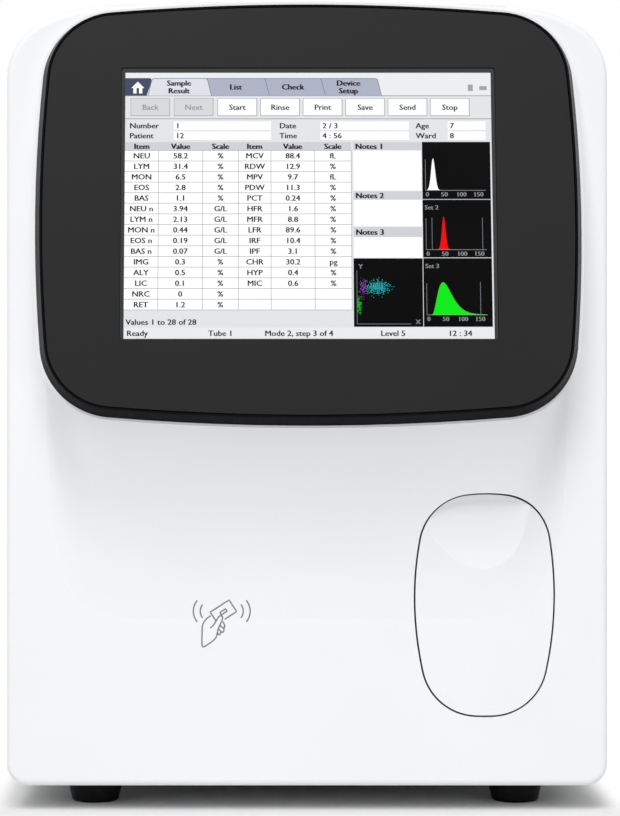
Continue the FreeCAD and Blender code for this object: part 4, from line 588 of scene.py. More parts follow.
TAB_TOP = 5.4
TAB_FOOT = 23.2
TAB_SLOPE = 3.6
TAB_LINE = 7.8
TAB_RIM = 0.7
RIM_LIFT = 0.5
CORNER_OVER = 2.5
CORNER_SIDE = 0.4
CORNER_DOWN = 1.2
TABS = [
    (22.4, 54.0, 87.0, TAB_LIGHT, ("Sample", "Result")),
    (75.0, 111.2, 145.3, TAB_DULL, ("List",)),
    (133.3, 168.7, 201.7, TAB_DULL, ("Check",)),
    (189.7, 224.7, 258.3, TAB_DULL, ("Device", "Setup")),
]
HOME_TAB = [(0, TAB_TOP), (0, TAB_FOOT), (21.4, TAB_FOOT), (26.5, TAB_TOP + 3), (25.5, TAB_TOP)]
HOME_ROOF = [(12.5, 9), (6, 15.5), (19, 15.5)]
TAB_BOXES = [
    (8, 15.5, 11.2, 21, LAYER_CURVE, PAPER),
    (13.8, 15.5, 17, 21, LAYER_CURVE, PAPER),
    (345, 12, 350, 18.5, LAYER_LINE, INK_DULL),
    (356.5, 13.5, 364, 17.5, LAYER_LINE, INK_DULL),
    (0, TAB_FOOT - 0.3, DOTS_WIDE, TAB_FOOT + 0.5, LAYER_LINE, LINE),
]
BUTTON_TOP = 25.8
BUTTON_FOOT = 44.0
BUTTON_WIDE = 40.0
BUTTON_RIM = np.array([0.7, 0.6, -0.9, -0.9])
BUTTON_LINE = (0, 46.2, DOTS_WIDE, 47.0)
BUTTON_LEFTS = [5.2, 48.8, 92.7, 135.8, 178.6, 221.4, 264.0, 306.6]
BUTTON_WORDS = ["Back", "Next", "Start", "Rinse", "Print", "Save", "Send", "Stop"]
DULL_BUTTONS = 2
FIELD_ROWS = [(49.3, 57.8), (59.4, 67.9)]
FIELDS = [(48.8, 146.5), (196.2, 285.1), (324.1, 362.2)]
FIELD_WORDS = [
    (4.5, "Number", "Patient"), (155.0, "Date", "Time"), (292.0, "Age", "Ward"),
    (50.8, "1", "12"), (198.2, "2 / 3", "4 : 56"), (326.1, "7", "8"),
]
HEAD_TOP = 70.2
HEAD_WORDS = ["Item", "Value", "Scale", "Item", "Value", "Scale"]
TABLE_TOP = 78.6
TABLE_ROWS = 15
TABLE_PITCH = 10.6
TABLE_FOOT = TABLE_TOP + TABLE_ROWS * TABLE_PITCH
TABLE_EDGES = [0.0, 33.8, 78.1, 113.8, 146.5, 190.3, 226.9]
TABLE_COLUMNS = [
    "NEU,LYM,MON,EOS,BAS,NEU n,LYM n,MON n,EOS n,BAS n,IMG,ALY,LIC,NRC,RET",
    "58.2,31.4,6.5,2.8,1.1,3.94,2.13,0.44,0.19,0.07,0.3,0.5,0.1,0,1.2",
    "%,%,%,%,%,G/L,G/L,G/L,G/L,G/L,%,%,%,%,%",
    "MCV,RDW,MPV,PDW,PCT,HFR,MFR,LFR,IRF,IPF,CHR,HYP,MIC",
    "88.4,12.9,9.7,11.3,0.24,1.6,8.8,89.6,10.4,3.1,30.2,0.4,0.6",
    "fL,%,fL,%,%,%,%,%,%,%,pg,%,%",
]
GRID_HALF = 0.3
NOTE_LEFT = 229.1
NOTE_RIGHT = 297.2
NOTE_BOXES = [
    (70.2, 78.6, 118.9, "Notes 1"),
    (119.6, 128.1, 154.7, "Notes 2"),
    (155.3, 165.4, 185.8, "Notes 3"),
]
PLOT_LEFT = 298.0
PLOT_RIGHT = 366.4
PLOT_RIM = 0.4
CURVE_LEFT = 303.0
CURVE_RIGHT = 360.4
CURVE_POINTS = 90
AXIS_LEFT = 301.0
AXIS_RIGHT = 361.4
AXIS_TALL = 31
AXIS_THIN = 0.4
AXIS_THICK = 0.5
AXIS_WORDS = [(303.0, "0"), (320.0, "50"), (337.0, "100"), (354.0, "150")]
AXIS_WORD_DOWN = 4.2
TITLE_DOWN = 7.5
GATES = [(357.4, 146, 357.8, 177.6), (307.0, 146, 307.4, 177.6), (354.4, 210, 354.8, 242)]
CLOUD_BOX = (228.6, 186.5, 297.4, 254.2)
CLOUD_LOW = (232.6, 188.5)
CLOUD_HIGH = (295.4, 250.2)
CLOUD_AXES = [(231.6, 198.5, 232.0, 251.2), (231.6, 251.2, 285.4, 251.6)]
CLOUD_WORDS = [(235.6, 194.5, "Y"), (292.4, 249.2, "X")]
CLOUDS = [
    ((252.0, 215.2), (6.0, 3.2), 420, CYAN_DOT),
    ((238.2, 215.0), (1.6, 4.0), 120, VIOLET_DOT),
    ((233.8, 232.7), (1.3, 4.4), 120, GREEN_DOT),
]
DOT_RADIUS = 0.42
COUNT_WORDS = ("Values 1 to 28 of 28", 2, 249.5)
LEAN_STEPS = 8
STATUS_TOP = 255.0
STATUS_WORDS = [
    (3, "Ready"), (84, "Tube 1"), (140, "Mode 2, step 3 of 4"), (255, "Level 5"), (322, "12 : 34"),
]


# Flat shapes as whole arrays


def joined(shapes):
    """Several sets of points, faces and colours as one set."""
    starts = np.cumsum([0] + [len(points) for points, faces, colours in shapes[:-1]])
    points = np.concatenate([shape[0] for shape in shapes])
    faces = np.concatenate([shape[1] + start for shape, start in zip(shapes, starts)])
    colours = np.concatenate([shape[2] for shape in shapes])
    return points, faces, colours


def painted(points, faces, colour):
    """A shape with one colour on each of its faces."""
    return points, faces, np.tile(np.array(full(colour)), (len(faces), 1))


def on_layer(flat, layer):
    """Flat points with their layer as a third number."""
    return np.column_stack([flat, np.full(len(flat), float(layer))])


def polygon_shape(corners, layer, colour):
    """A convex outline filled from its first corner by a fan of triangles."""
    turn = np.arange(1, len(corners) - 1)
    faces = np.column_stack([np.zeros(len(turn), int), turn, turn + 1])
    return painted(on_layer(np.array(corners, float), layer), faces, colour)


def box_shape(left, top, right, foot, layer, colour):
    """A filled rectangle."""
    corners = [(left, top), (left, foot), (right, foot), (right, top)]
    return polygon_shape(corners, layer, colour)


def chalk_shape(left, top, right, foot):
    """A thin grey line of a plot."""
    return box_shape(left, top, right, foot, LAYER_LINE, CHALK)


def strip_faces(count):
    """Triangles between two rows of points, the second row after the first."""
    low = np.arange(count - 1)
    first = np.column_stack([low, low + count, low + 1])
    second = np.column_stack([low + 1, low + count, low + count + 1])
    return np.concatenate([first, second])


def hump_shape(across, heights, base, layer, colour):
    """The space between a base line and a curve given by its heights over it."""
    high = np.column_stack([across, base - heights])
    low = np.column_stack([across, np.full(len(across), base)])
    points = on_layer(np.concatenate([high, low]), layer)
    return painted(points, strip_faces(len(across)), colour)


def dots_shape(middles, radius, layer, colour):
    """Small diamonds round the middles: four corners each, as two triangles."""
    reach = np.array([(0, -radius), (-radius, 0), (0, radius), (radius, 0)])
    corners = (middles[:, None, :] + reach[None, :, :]).reshape(-1, 2)
    start = np.arange(len(middles))[:, None] * len(reach)
    faces = np.concatenate([start + [0, 1, 2], start + [0, 2, 3]])
    return painted(on_layer(corners, layer), faces, colour)


def letter_mesh(text, size, align):
    """The built-in letters of a word, filled flat: their points and triangles."""
    curve = bpy.data.curves.new("word", "FONT")
    curve.body = text
    curve.size = size
    curve.align_x = align
    curve.resolution_u = LETTER_STEPS
    holder = bpy.data.objects.new("word", curve)
    bpy.context.scene.collection.objects.link(holder)
    depsgraph = bpy.context.evaluated_depsgraph_get()
    mesh = bpy.data.meshes.new_from_object(holder.evaluated_get(depsgraph))
    mesh.calc_loop_triangles()
    places = np.zeros(len(mesh.vertices) * 3)
    mesh.vertices.foreach_get("co", places)
    faces = np.zeros(len(mesh.loop_triangles) * 3, int)
    mesh.loop_triangles.foreach_get("vertices", faces)
    bpy.data.objects.remove(holder)
    bpy.data.curves.remove(curve)
    bpy.data.meshes.remove(mesh)
    return places.reshape(-1, 3), faces.reshape(-1, 3)


def word_shape(text, across, down, ink=INK, size=WORD_SIZE, align="CENTER", heavy=PLAIN):
    """A word with its capitals centred on a height.

    It is put down twice, the second time a little further across, which thickens its strokes.
    """
    places, faces = letter_mesh(text, size, align)
    letters = np.column_stack([
        across - heavy / 2 + places[:, 0] * LETTER_SPREAD,
        down + size * CAPITAL_SHARE / 2 - places[:, 1],
    ])
    points = np.concatenate([letters, letters + [heavy, 0.0]])
    faces = np.concatenate([faces, faces + len(letters)])
    return painted(on_layer(points, LAYER_WORD), faces, ink)


def new_mesh_piece(name, points, faces, material, body):
    """Whole arrays of points and faces as a mesh that rides on a body of the frame."""
    mesh = bpy.data.meshes.new(name)
    mesh.from_pydata(points.tolist(), [], faces.tolist())
    mesh.materials.append(material)
    mesh.update()
    piece = bpy.data.objects.new(name, mesh)
    bpy.context.scene.collection.objects.link(piece)
    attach(piece, body)
    return piece


# The picture on the screen


def tab_shape(left, right, inset, layer, colour):
    """One tab: cut upper corners and sides that slope."""
    top = TAB_TOP + inset
    side = TAB_SLOPE + CORNER_SIDE + inset
    over = TAB_SLOPE + CORNER_OVER
    corners = [
        (left + over, top), (left + side, top + CORNER_DOWN), (left + inset, TAB_FOOT),
        (right - inset, TAB_FOOT), (right - side, top + CORNER_DOWN), (right - over, top),
    ]
    return polygon_shape(corners, layer, colour)


def tab_shapes():
    """The row of tabs, one light tab before the dull ones, with a house and small signs."""
    shapes = [
        box_shape(0, 0, DOTS_WIDE, TAB_FOOT, LAYER_TABLE, STRIP),
        polygon_shape(HOME_TAB, LAYER_LINE, HOME),
    ]
    for number, (left, middle, right, colour, words) in enumerate(reversed(TABS)):
        layer = LAYER_TAB + number
        shapes.append(tab_shape(left, right, 0.0, layer, TAB_EDGE))
        shapes.append(tab_shape(left, right, TAB_RIM, layer + RIM_LIFT, colour))
        first = (TAB_TOP + TAB_FOOT) / 2 - (len(words) - 1) * TAB_LINE / 2
        for row, word in enumerate(words):
            shapes.append(word_shape(word, middle, first + row * TAB_LINE, heavy=HEAVY))
    shapes.append(polygon_shape(HOME_ROOF, LAYER_CURVE, PAPER))
    return shapes + [box_shape(*box) for box in TAB_BOXES]


def button_shapes():
    """Eight buttons under the tabs; the first two are dull."""
    shapes = []
    middle = (BUTTON_TOP + BUTTON_FOOT) / 2
    for number, (left, word) in enumerate(zip(BUTTON_LEFTS, BUTTON_WORDS)):
        dull = number < DULL_BUTTONS
        edges = np.array([left, BUTTON_TOP, left + BUTTON_WIDE, BUTTON_FOOT])
        shapes += [
            box_shape(*edges, LAYER_LINE, BUTTON_EDGE),
            box_shape(*(edges + BUTTON_RIM), LAYER_CURVE, BUTTON_DULL if dull else BUTTON),
            word_shape(word, left + BUTTON_WIDE / 2, middle, INK_DULL if dull else INK),
        ]
    shapes.append(box_shape(*BUTTON_LINE, LAYER_LINE, LINE))
    return shapes


def field_shapes():
    """Two rows of white fields with their words."""
    shapes = [
        box_shape(left, top, right, foot, LAYER_LINE, PAPER)
        for top, foot in FIELD_ROWS
        for left, right in FIELDS
    ]
    for left, *words in FIELD_WORDS:
        for (top, foot), word in zip(FIELD_ROWS, words):
            shapes.append(word_shape(word, left, (top + foot) / 2, align="LEFT"))
    return shapes


def table_shapes():
    """The table: a grey head, white rows, thin grey lines and centred words."""
    right = TABLE_EDGES[-1]
    shapes = [
        box_shape(0, HEAD_TOP, right, TABLE_TOP, LAYER_TABLE, HEADER),
        box_shape(0, TABLE_TOP, right, TABLE_FOOT, LAYER_TABLE, PAPER),
    ]
    for row in range(TABLE_ROWS + 1):
        down = TABLE_TOP + row * TABLE_PITCH
        shapes.append(box_shape(0, down - GRID_HALF, right, down + GRID_HALF, LAYER_LINE, GRID))
    for edge in TABLE_EDGES[1:]:
        sides = (edge - GRID_HALF, TABLE_TOP, edge + GRID_HALF, TABLE_FOOT)
        shapes.append(box_shape(*sides, LAYER_LINE, GRID))
    middles = [(left + right) / 2 for left, right in zip(TABLE_EDGES[:-1], TABLE_EDGES[1:])]
    for middle, title, words in zip(middles, HEAD_WORDS, TABLE_COLUMNS):
        shapes.append(word_shape(title, middle, (HEAD_TOP + TABLE_TOP) / 2, heavy=HEAVY))
        for row, word in enumerate(words.split(",")):
            shapes.append(word_shape(word, middle, TABLE_TOP + (row + 0.5) * TABLE_PITCH))
    return shapes


def note_shapes():
    """Three boxes with grey heads beside the table."""
    shapes = []
    for top, split, foot, word in NOTE_BOXES:
        place = (NOTE_LEFT + WORD_INSET, (top + split) / 2)
        shapes += [
            box_shape(NOTE_LEFT, top, NOTE_RIGHT, split, LAYER_TABLE, HEADER),
            box_shape(NOTE_LEFT, split, NOTE_RIGHT, foot, LAYER_TABLE, PAPER),
            word_shape(word, *place, align="LEFT", heavy=HEAVY),
        ]
    return shapes


def bell(across, middle, spread, height):
    """A bell curve: e to the power of minus half the squared distance over the spread."""
    return np.exp(-(((across - middle) / spread) ** 2) / 2) * height


def long_tail(across, start, reach, power, height):
    """A steep rise and a long tail.

    The distance from the start, over the reach, is multiplied by e to the power of one
    minus itself, and the product is raised to a power.
    """
    share = np.clip((across - start) / reach, 0.0, None)
    return (share * np.exp(1 - share)) ** power * height


PLOTS = [
    (70.2, 127.4, 9.0, "", WHITE_CURVE, bell, (308.9, 2.0, 32.0)),
    (128.2, 185.6, 8.0, "Set 2", RED_CURVE, bell, (318.8, 1.8, 33.0)),
    (186.5, 254.2, 12.0, "Set 3", GREEN_CURVE, long_tail, (306.0, 11.5, 2.6, 32.0)),
]


def plot_shapes():
    """Three black plots: a white and a red peak, and a green hump with a long tail."""
    across = np.linspace(CURVE_LEFT, CURVE_RIGHT, CURVE_POINTS)
    shapes = []
    for top, foot, rise, title, colour, curve, values in PLOTS:
        base = foot - rise
        title_place = (PLOT_LEFT + WORD_INSET, top + TITLE_DOWN)
        shapes += [
            box_shape(PLOT_LEFT, top, PLOT_RIGHT, foot, LAYER_TABLE, BLACK),
            hump_shape(across, curve(across, *values), base, LAYER_CURVE, colour),
            chalk_shape(AXIS_LEFT, base, AXIS_RIGHT, base + AXIS_THICK),
            chalk_shape(AXIS_LEFT, base - AXIS_TALL, AXIS_LEFT + AXIS_THIN, base),
            word_shape(title, *title_place, CHALK, SMALL_SIZE, "LEFT"),
        ]
        for place, text in AXIS_WORDS:
            shapes.append(word_shape(text, place, base + AXIS_WORD_DOWN, CHALK, SMALL_SIZE))
        shapes.append(chalk_shape(PLOT_LEFT, top - PLOT_RIM, PLOT_RIGHT, top))
    return shapes + [chalk_shape(*gate) for gate in GATES]


def cloud_shapes(seed):
    """The dot cloud: random dots round three middles, thinner away from them."""
    chance = np.random.default_rng(seed)
    shapes = [box_shape(*CLOUD_BOX, LAYER_TABLE, BLACK)]
    for middle, spread, count, colour in CLOUDS:
        middles = np.clip(chance.normal(middle, spread, (count, 2)), CLOUD_LOW, CLOUD_HIGH)
        shapes.append(dots_shape(middles, DOT_RADIUS, LAYER_CURVE, colour))
    shapes += [chalk_shape(*axis) for axis in CLOUD_AXES]
    for across, down, text in CLOUD_WORDS:
        shapes.append(word_shape(text, across, down, CHALK, SMALL_SIZE))
    return shapes


def status_shapes():
    """The words below the table and in the bar at the bottom."""
    middle = (STATUS_TOP + DOTS_HIGH) / 2
    shapes = [
        box_shape(0, STATUS_TOP, DOTS_WIDE, DOTS_HIGH, LAYER_TABLE, STRIP),
        word_shape(*COUNT_WORDS, align="LEFT"),
    ]
    for across, text in STATUS_WORDS:
        shapes.append(word_shape(text, across, middle, align="LEFT"))
    return shapes


def screen_plane(sizes):
    """Lower left corner, across, up and outward of the glass's front face.

    The glass leans back, so the lowest forward line of its box is the face's lower edge,
    raised by the thickness times the sine of the lean, and its highest line, drawn forward
    by the thickness times the cosine, is the upper edge. The lean is found by repeating
    the same formula, starting from upright.
    """
    low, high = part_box("touch_glass")
    lean = 0.0
    for step in range(LEAN_STEPS):
        rise = (high.z - low.z) - sizes.glass_thickness * math.sin(lean)
        back = (high.y - low.y) - sizes.glass_thickness * math.cos(lean)
        lean = math.atan2(back, rise)
    up = np.array([0.0, math.sin(lean), math.cos(lean)])
    out = np.array([0.0, -math.cos(lean), math.sin(lean)])
    corner = np.array([low.x, low.y, low.z + sizes.glass_thickness * math.sin(lean)])
    across = np.array([1.0, 0.0, 0.0])
    return corner, across, up, out, high.x - low.x, math.hypot(rise, back)


def film_shape(wide, high, thickness):
    """A closed thin slab under the picture: eight corners and twelve triangles."""
    corners = [(0, 0), (wide, 0), (wide, high), (0, high)]
    points = [(x, y, z) for z in (0.0, thickness) for x, y in corners]
    sides = []
    for number in range(4):
        after = (number + 1) % 4
        sides += [(number, after, after + 4), (number, after + 4, number + 4)]
    faces = [(0, 2, 1), (0, 3, 2), (4, 5, 6), (4, 6, 7)] + sides
    return np.array(points), np.array(faces)


def outward(points, faces, out, skip=0):
    """Turns over each triangle, after the first few, that faces away from outward."""
    first = points[faces[:, 1]] - points[faces[:, 0]]
    second = points[faces[:, 2]] - points[faces[:, 0]]
    away = np.cross(first, second) @ out < 0
    away[:skip] = False
    turned = faces.copy()
    turned[away] = faces[away][:, ::-1]
    return turned


def picture_piece(material, sizes):
    """The picture: dots become metres on the glass's plane, and layers rise in small steps."""
    layouts = [
        tab_shapes(), button_shapes(), field_shapes(), table_shapes(), note_shapes(),
        plot_shapes(), cloud_shapes(sizes.scatter_seed), status_shapes(),
    ]
    points, faces, colours = joined([shape for layout in layouts for shape in layout])
    corner, across, up, out, wide, high = screen_plane(sizes)
    wide -= 2 * sizes.film_side
    high -= sizes.film_top + sizes.film_foot
    flat = np.column_stack([
        points[:, 0] * (wide / DOTS_WIDE),
        (DOTS_HIGH - points[:, 1]) * (high / DOTS_HIGH),
        sizes.film_lift + points[:, 2] * sizes.layer_step,
    ])
    film = painted(*film_shape(wide, high, sizes.film_lift), PAGE)
    flat, faces, colours = joined([film, (flat, faces, colours)])
    start = corner + sizes.film_side * across + sizes.film_foot * up
    placed = start + flat[:, :1] * across + flat[:, 1:2] * up + flat[:, 2:] * out
    faces = outward(placed, faces, out, len(film[1]))
    piece = new_mesh_piece("screen_picture", placed, faces, material, "cabinet")
    paint = piece.data.color_attributes.new("paint", "FLOAT_COLOR", "CORNER")
    paint.data.foreach_set("color", np.repeat(colours, 3, axis=0).ravel())


# Printed lines

SPLINE_STEPS = 6
STRAIGHT_STEPS = 8
ARC_POINTS = 25
RING_POINTS = 37


def shares(count):
    """Equal shares from 0 to just below 1, ready to weigh pairs of numbers."""
    return np.linspace(0, 1, count + 1)[:-1][None, :, None]


def smooth_line(corners):
    """A cubic B-spline through the space between corners, as an array of points.

    Each point is four neighbouring corners weighed by the cubic blending shares. The
    ends are repeated three times, so that the line reaches them.
    """
    corners = np.array(corners, float)
    held = np.concatenate([corners[:1], corners[:1], corners, corners[-1:], corners[-1:]])
    share = shares(SPLINE_STEPS)
    weights = [
        (1 - share) ** 3 / 6,
        (3 * share**3 - 6 * share**2 + 4) / 6,
        (-3 * share**3 + 3 * share**2 + 3 * share + 1) / 6,
        share**3 / 6,
    ]
    spans = len(held) - 3
    parts = [weight * held[k : k + spans, None, :] for k, weight in enumerate(weights)]
    return np.concatenate([sum(parts).reshape(-1, 2), held[-1:]])


def arc_line(middle, radius, first, last, count=ARC_POINTS):
    """Points of an arc from one angle to another, in degrees."""
    turn = np.radians(np.linspace(first, last, count))
    return np.column_stack([middle[0] + radius * np.cos(turn), middle[1] + radius * np.sin(turn)])


def straight_line(*corners):
    """Points along straight runs, eight to a run."""
    corners = np.array(corners, float)
    share = shares(STRAIGHT_STEPS)
    runs = corners[:-1, None, :] * (1 - share) + corners[1:, None, :] * share
    return np.concatenate([runs.reshape(-1, 2), corners[-1:]])


def ribbon_shape(line, width, plane, closed=False):
    """A flat ribbon: the line moved half its width to both sides, along its normals."""
    if closed:
        ahead = np.roll(line[:-1], -1, axis=0) - np.roll(line[:-1], 1, axis=0)
        ahead = np.concatenate([ahead, ahead[:1]])
    else:
        ahead = np.gradient(line, axis=0)
    ahead = ahead / np.linalg.norm(ahead, axis=1, keepdims=True)
    side = np.column_stack([-ahead[:, 1], ahead[:, 0]]) * width / 2
    rows = np.concatenate([line + side, line - side])
    points = np.column_stack([rows[:, 0], np.full(len(rows), plane), rows[:, 1]])
    return points, strip_faces(len(line))


def printed_piece(name, ribbons, node, facing, material, body):
    """Ribbons laid on a node: projected on its surface along Y, then given a thickness."""
    thickness = chosen_sizes().ink_thickness
    points, faces = joined([painted(*ribbon, PLAIN_GREY) for ribbon in ribbons])[:2]
    faces = outward(points, faces, np.array([0.0, facing, 0.0]))
    piece = new_mesh_piece(name, points, faces, material, body)
    wrap = piece.modifiers.new("Lay on", "SHRINKWRAP")
    wrap.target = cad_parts[node]
    wrap.wrap_method = "PROJECT"
    wrap.use_project_y = True
    wrap.use_positive_direction = facing < 0
    wrap.use_negative_direction = facing > 0
    wrap.offset = thickness
    solid = piece.modifiers.new("Thickness", "SOLIDIFY")
    solid.thickness = thickness
    solid.offset = -1.0
    depsgraph = bpy.context.evaluated_depsgraph_get()
    laid = bpy.data.meshes.new_from_object(piece.evaluated_get(depsgraph))
    piece.modifiers.clear()
    bare = piece.data
    piece.data = laid
    laid.name = name
    bpy.data.meshes.remove(bare)


# The card symbol, in millimetres from its middle, and the marks, as shares of the rocker

CARD_MIDDLE = (1.0, 6.6)
CARD_SIDES = (13.6, 8.4)
CARD_TURN = 33.0
CARD_SIGNS = np.array([(-1, 1), (1, 1), (1, -1), (-1, -1)])
CHIP_SIDES = (4.2, 1.7)
HIDDEN_SHARE = 0.28
SHOWN_SHARE = 0.36
WAVE_MIDDLE = 7.0
WAVES = [(6.4, 6.6, 38.0), (7.0, 10.2, 40.0)]
HAND = [
    [
        (-6.6, 4.3), (-9.2, 2.7), (-11.7, -0.6), (-11.9, -4.0), (-12.0, -9.0), (-12.1, -13.2),
        (-11.6, -14.9), (-10.2, -14.4), (-7.4, -12.4), (-4.4, -10.4), (-3.0, -8.2), (-2.6, -5.4),
    ],
    [
        (-2.6, -5.4), (-1.9, -3.0), (-0.7, -0.5), (0.4, 1.9), (0.7, 3.5), (-0.3, 4.3),
        (-1.5, 4.1), (-2.6, 2.6), (-3.8, 0.4), (-5.2, -1.8), (-7.0, -3.3),
    ],
    [(0.6, 0.7), (1.4, -0.6), (2.0, -2.2), (1.4, -3.4), (0.2, -2.9), (-1.0, -1.5)],
    [(1.2, -3.4), (1.4, -5.0), (0.6, -6.1), (-0.6, -5.3), (-1.7, -3.9)],
    [(-0.6, -5.6), (-1.0, -7.2), (-1.9, -7.4), (-2.5, -6.3)],
]
RING_HEIGHT = 0.25
BAR_HEIGHT = 0.75
BAR_REACH = 0.1
RING_SHARE = 0.8


def card_corners(sides):
    """Corners of a rectangle about the card's middle, turned with the card."""
    turn = math.radians(CARD_TURN)
    along = np.array([math.cos(turn), math.sin(turn)]) * sides[0] / 2
    over = np.array([-math.sin(turn), math.cos(turn)]) * sides[1] / 2
    return np.array(CARD_MIDDLE) + CARD_SIGNS[:, :1] * along + CARD_SIGNS[:, 1:] * over


def symbol_lines():
    """Lines of the symbol: the card with its chip, a hand that holds it, and waves."""
    card = card_corners(CARD_SIDES)
    chip = card_corners(CHIP_SIDES)
    hidden = card[3] + (card[0] - card[3]) * HIDDEN_SHARE
    shown = card[3] + (card[2] - card[3]) * SHOWN_SHARE
    lines = [straight_line(hidden, *card[:3], shown), straight_line(*chip, chip[0])]
    lines += [smooth_line(corners) for corners in HAND]
    for offset, radius, half_turn in WAVES:
        for side, facing in ((1, 0), (-1, 180)):
            middle = (side * offset, WAVE_MIDDLE)
            lines.append(arc_line(middle, radius, facing - half_turn, facing + half_turn))
    return lines


def mark_ribbons(width):
    """The ring and the bar of the power rocker, as ribbons behind its face."""
    low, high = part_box("power_rocker")
    across = (low.x + high.x) / 2
    tall = high.z - low.z
    plane = high.y + width
    reach = tall * BAR_REACH
    bar = low.z + tall * BAR_HEIGHT
    ring = arc_line((across, low.z + tall * RING_HEIGHT), reach * RING_SHARE, 0, 360, RING_POINTS)
    stroke = straight_line((across, bar - reach), (across, bar + reach))
    return [ribbon_shape(ring, width, plane, True), ribbon_shape(stroke, width, plane)]


# Finishes: slot, material, colour, share for its shade, gloss, grain, depth in microns, specular

CABINET_FINISHES = [
    ("cover_plastic", "White moulded plastic", "cover", (0.982, 0.9856, 0.9882), (0.3, 0.37),
     "grain_size", 4, 0.35),
    ("cover_paint", "White powder paint", "paint", 0.985, (0.38, 0.48), "paint_grain", 10, 0.35),
    ("rear_paint", "Grey powder paint", "rear", 0.95, (0.42, 0.55), "paint_grain", 20, 0.4),
    ("liner_plastic", "Grey liner plastic", "liner", 0.96, (0.42, 0.5), "grain_size", 8, 0.4),
]
POD_FINISHES = [
    ("pod_plastic", "Black glossy rim", "rim", 1.3, (0.2, 0.28), "grain_size", 2, 0.02),
    ("fascia_plastic", "Dark satin plate", "fascia", 1.06, (0.4, 0.48), "grain_size", 6, 0.1),
]
WORKS_FINISHES = [
    ("holder_plastic", "Machined black plastic", "holder", 0.9, (0.34, 0.44), "grain_size", 6, 0.4),
    ("black_plastic", "Moulded black plastic", "black", 0.9, (0.38, 0.5), "grain_size", 10, 0.4),
    ("dark_metal", "Black enamel", "enamel", 0.9, (0.28, 0.4), "grain_size", 8, 0.4),
    ("rubber", "Black rubber", "rubber", 0.9, (0.4, 0.52), "grain_size", 6, 0.15),
    ("bath_plastic", "Milky plastic", "bath", 0.9, (0.3, 0.38), "grain_size", 4, 0.4),
]
GREY_INK = ("Grey ink", "ink", 1.1, (0.4, 0.5), "grain_size", 2, PLAIN_SPECULAR)
WHITE_INK = ("White mark", "mark", 1.0, (0.4, 0.5), "grain_size", 2, PLAIN_SPECULAR)

# Metals: slot, material, colour, gloss, stretch and depth in microns

METAL_FINISHES = [
    ("machined", "Machined alloy", "machined", (0.3, 0.42), (300.0, 300.0, 2500.0), 4),
    ("steel", "Ground steel", "steel", (0.2, 0.32), (1800.0, 400.0, 1800.0), 3),
    ("brass", "Turned brass", "brass", (0.22, 0.34), (1500.0, 500.0, 1500.0), 3),
]
PIN_FINISH = ("Blackened steel", "enamel", (0.3, 0.45), (1800.0, 400.0, 1800.0), 3)


def grained_finish(values, cloud):
    """A grained material from the values of one line of the tables."""
    name, colour_name, share, gloss, grain_name, microns, specular = values
    colour = getattr(chosen_colours(), colour_name)
    grain = getattr(chosen_sizes(), grain_name)
    shade = shaded(colour, share)
    return grained_material(name, colour, shade, gloss, grain, microns, specular, cloud)


def metal_finish(values):
    """A metal from the values of one line of the tables."""
    name, colour_name, gloss, stretch, microns = values
    colour = getattr(chosen_colours(), colour_name)
    return metal_material(name, colour, gloss, stretch, microns, chosen_sizes().small_cloud)


class COUNTER_OT_cabinet(Operator):
    """Dress the moulded front, the painted covers and the rear"""

    bl_idname = "counter.cabinet"
    bl_label = "Cabinet finishes"

    def execute(self, context):
        for slot_name, *values in CABINET_FINISHES:
            dress_slot(slot_name, grained_finish(values, chosen_sizes().cloud_size))
        return {"FINISHED"}


class COUNTER_OT_pod(Operator):
    """Dress the display pod: glossy rim, satin face plate and dark glass"""

    bl_idname = "counter.pod"
    bl_label = "Display pod finishes"

    def execute(self, context):
        colours = chosen_colours()
        sizes = chosen_sizes()
        for slot_name, *values in POD_FINISHES:
            dress_slot(slot_name, grained_finish(values, sizes.cloud_size))
        glass = glass_material("Dark glass", colours.glass, GLASS_GLOSS, sizes.smear_size)
        dress_slot("screen", glass)
        return {"FINISHED"}


class COUNTER_OT_works(Operator):
    """Dress the works inside and the hardware on the rear"""

    bl_idname = "counter.works"
    bl_label = "Works and hardware finishes"

    def execute(self, context):
        colours = chosen_colours()
        sizes = chosen_sizes()
        for slot_name, *values in WORKS_FINISHES:
            dress_slot(slot_name, grained_finish(values, sizes.small_cloud))
        for slot_name, *values in METAL_FINISHES:
            dress_slot(slot_name, metal_finish(values))
        dress_node("door_hinge_pins", metal_finish(PIN_FINISH))
        dress_slot("circuit_board", board_material(
            "Green lacquered board", colours.board, colours.board_track, sizes.small_cloud,
        ))
        dress_slot("clear_tube", glass_material(
            "Clear tube", colours.tube, TUBE_GLOSS, sizes.small_smear, CLEAR_SHARE,
        ))
        low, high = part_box("hose_fittings")
        caps = (colours.cap_first, colours.cap_second, colours.cap_third, colours.cap_fourth)
        dress_node("hose_fittings", fitting_material(
            "Coloured fittings", colours.bath, caps, (low.x, high.x), sizes,
        ))
        return {"FINISHED"}


class COUNTER_OT_picture(Operator):
    """Make the lit picture on the glass: tabs, buttons, table and plots"""

    bl_idname = "counter.picture"
    bl_label = "Screen picture"

    def execute(self, context):
        sizes = chosen_sizes()
        picture_piece(picture_material("Lit picture", sizes.smear_size), sizes)
        return {"FINISHED"}


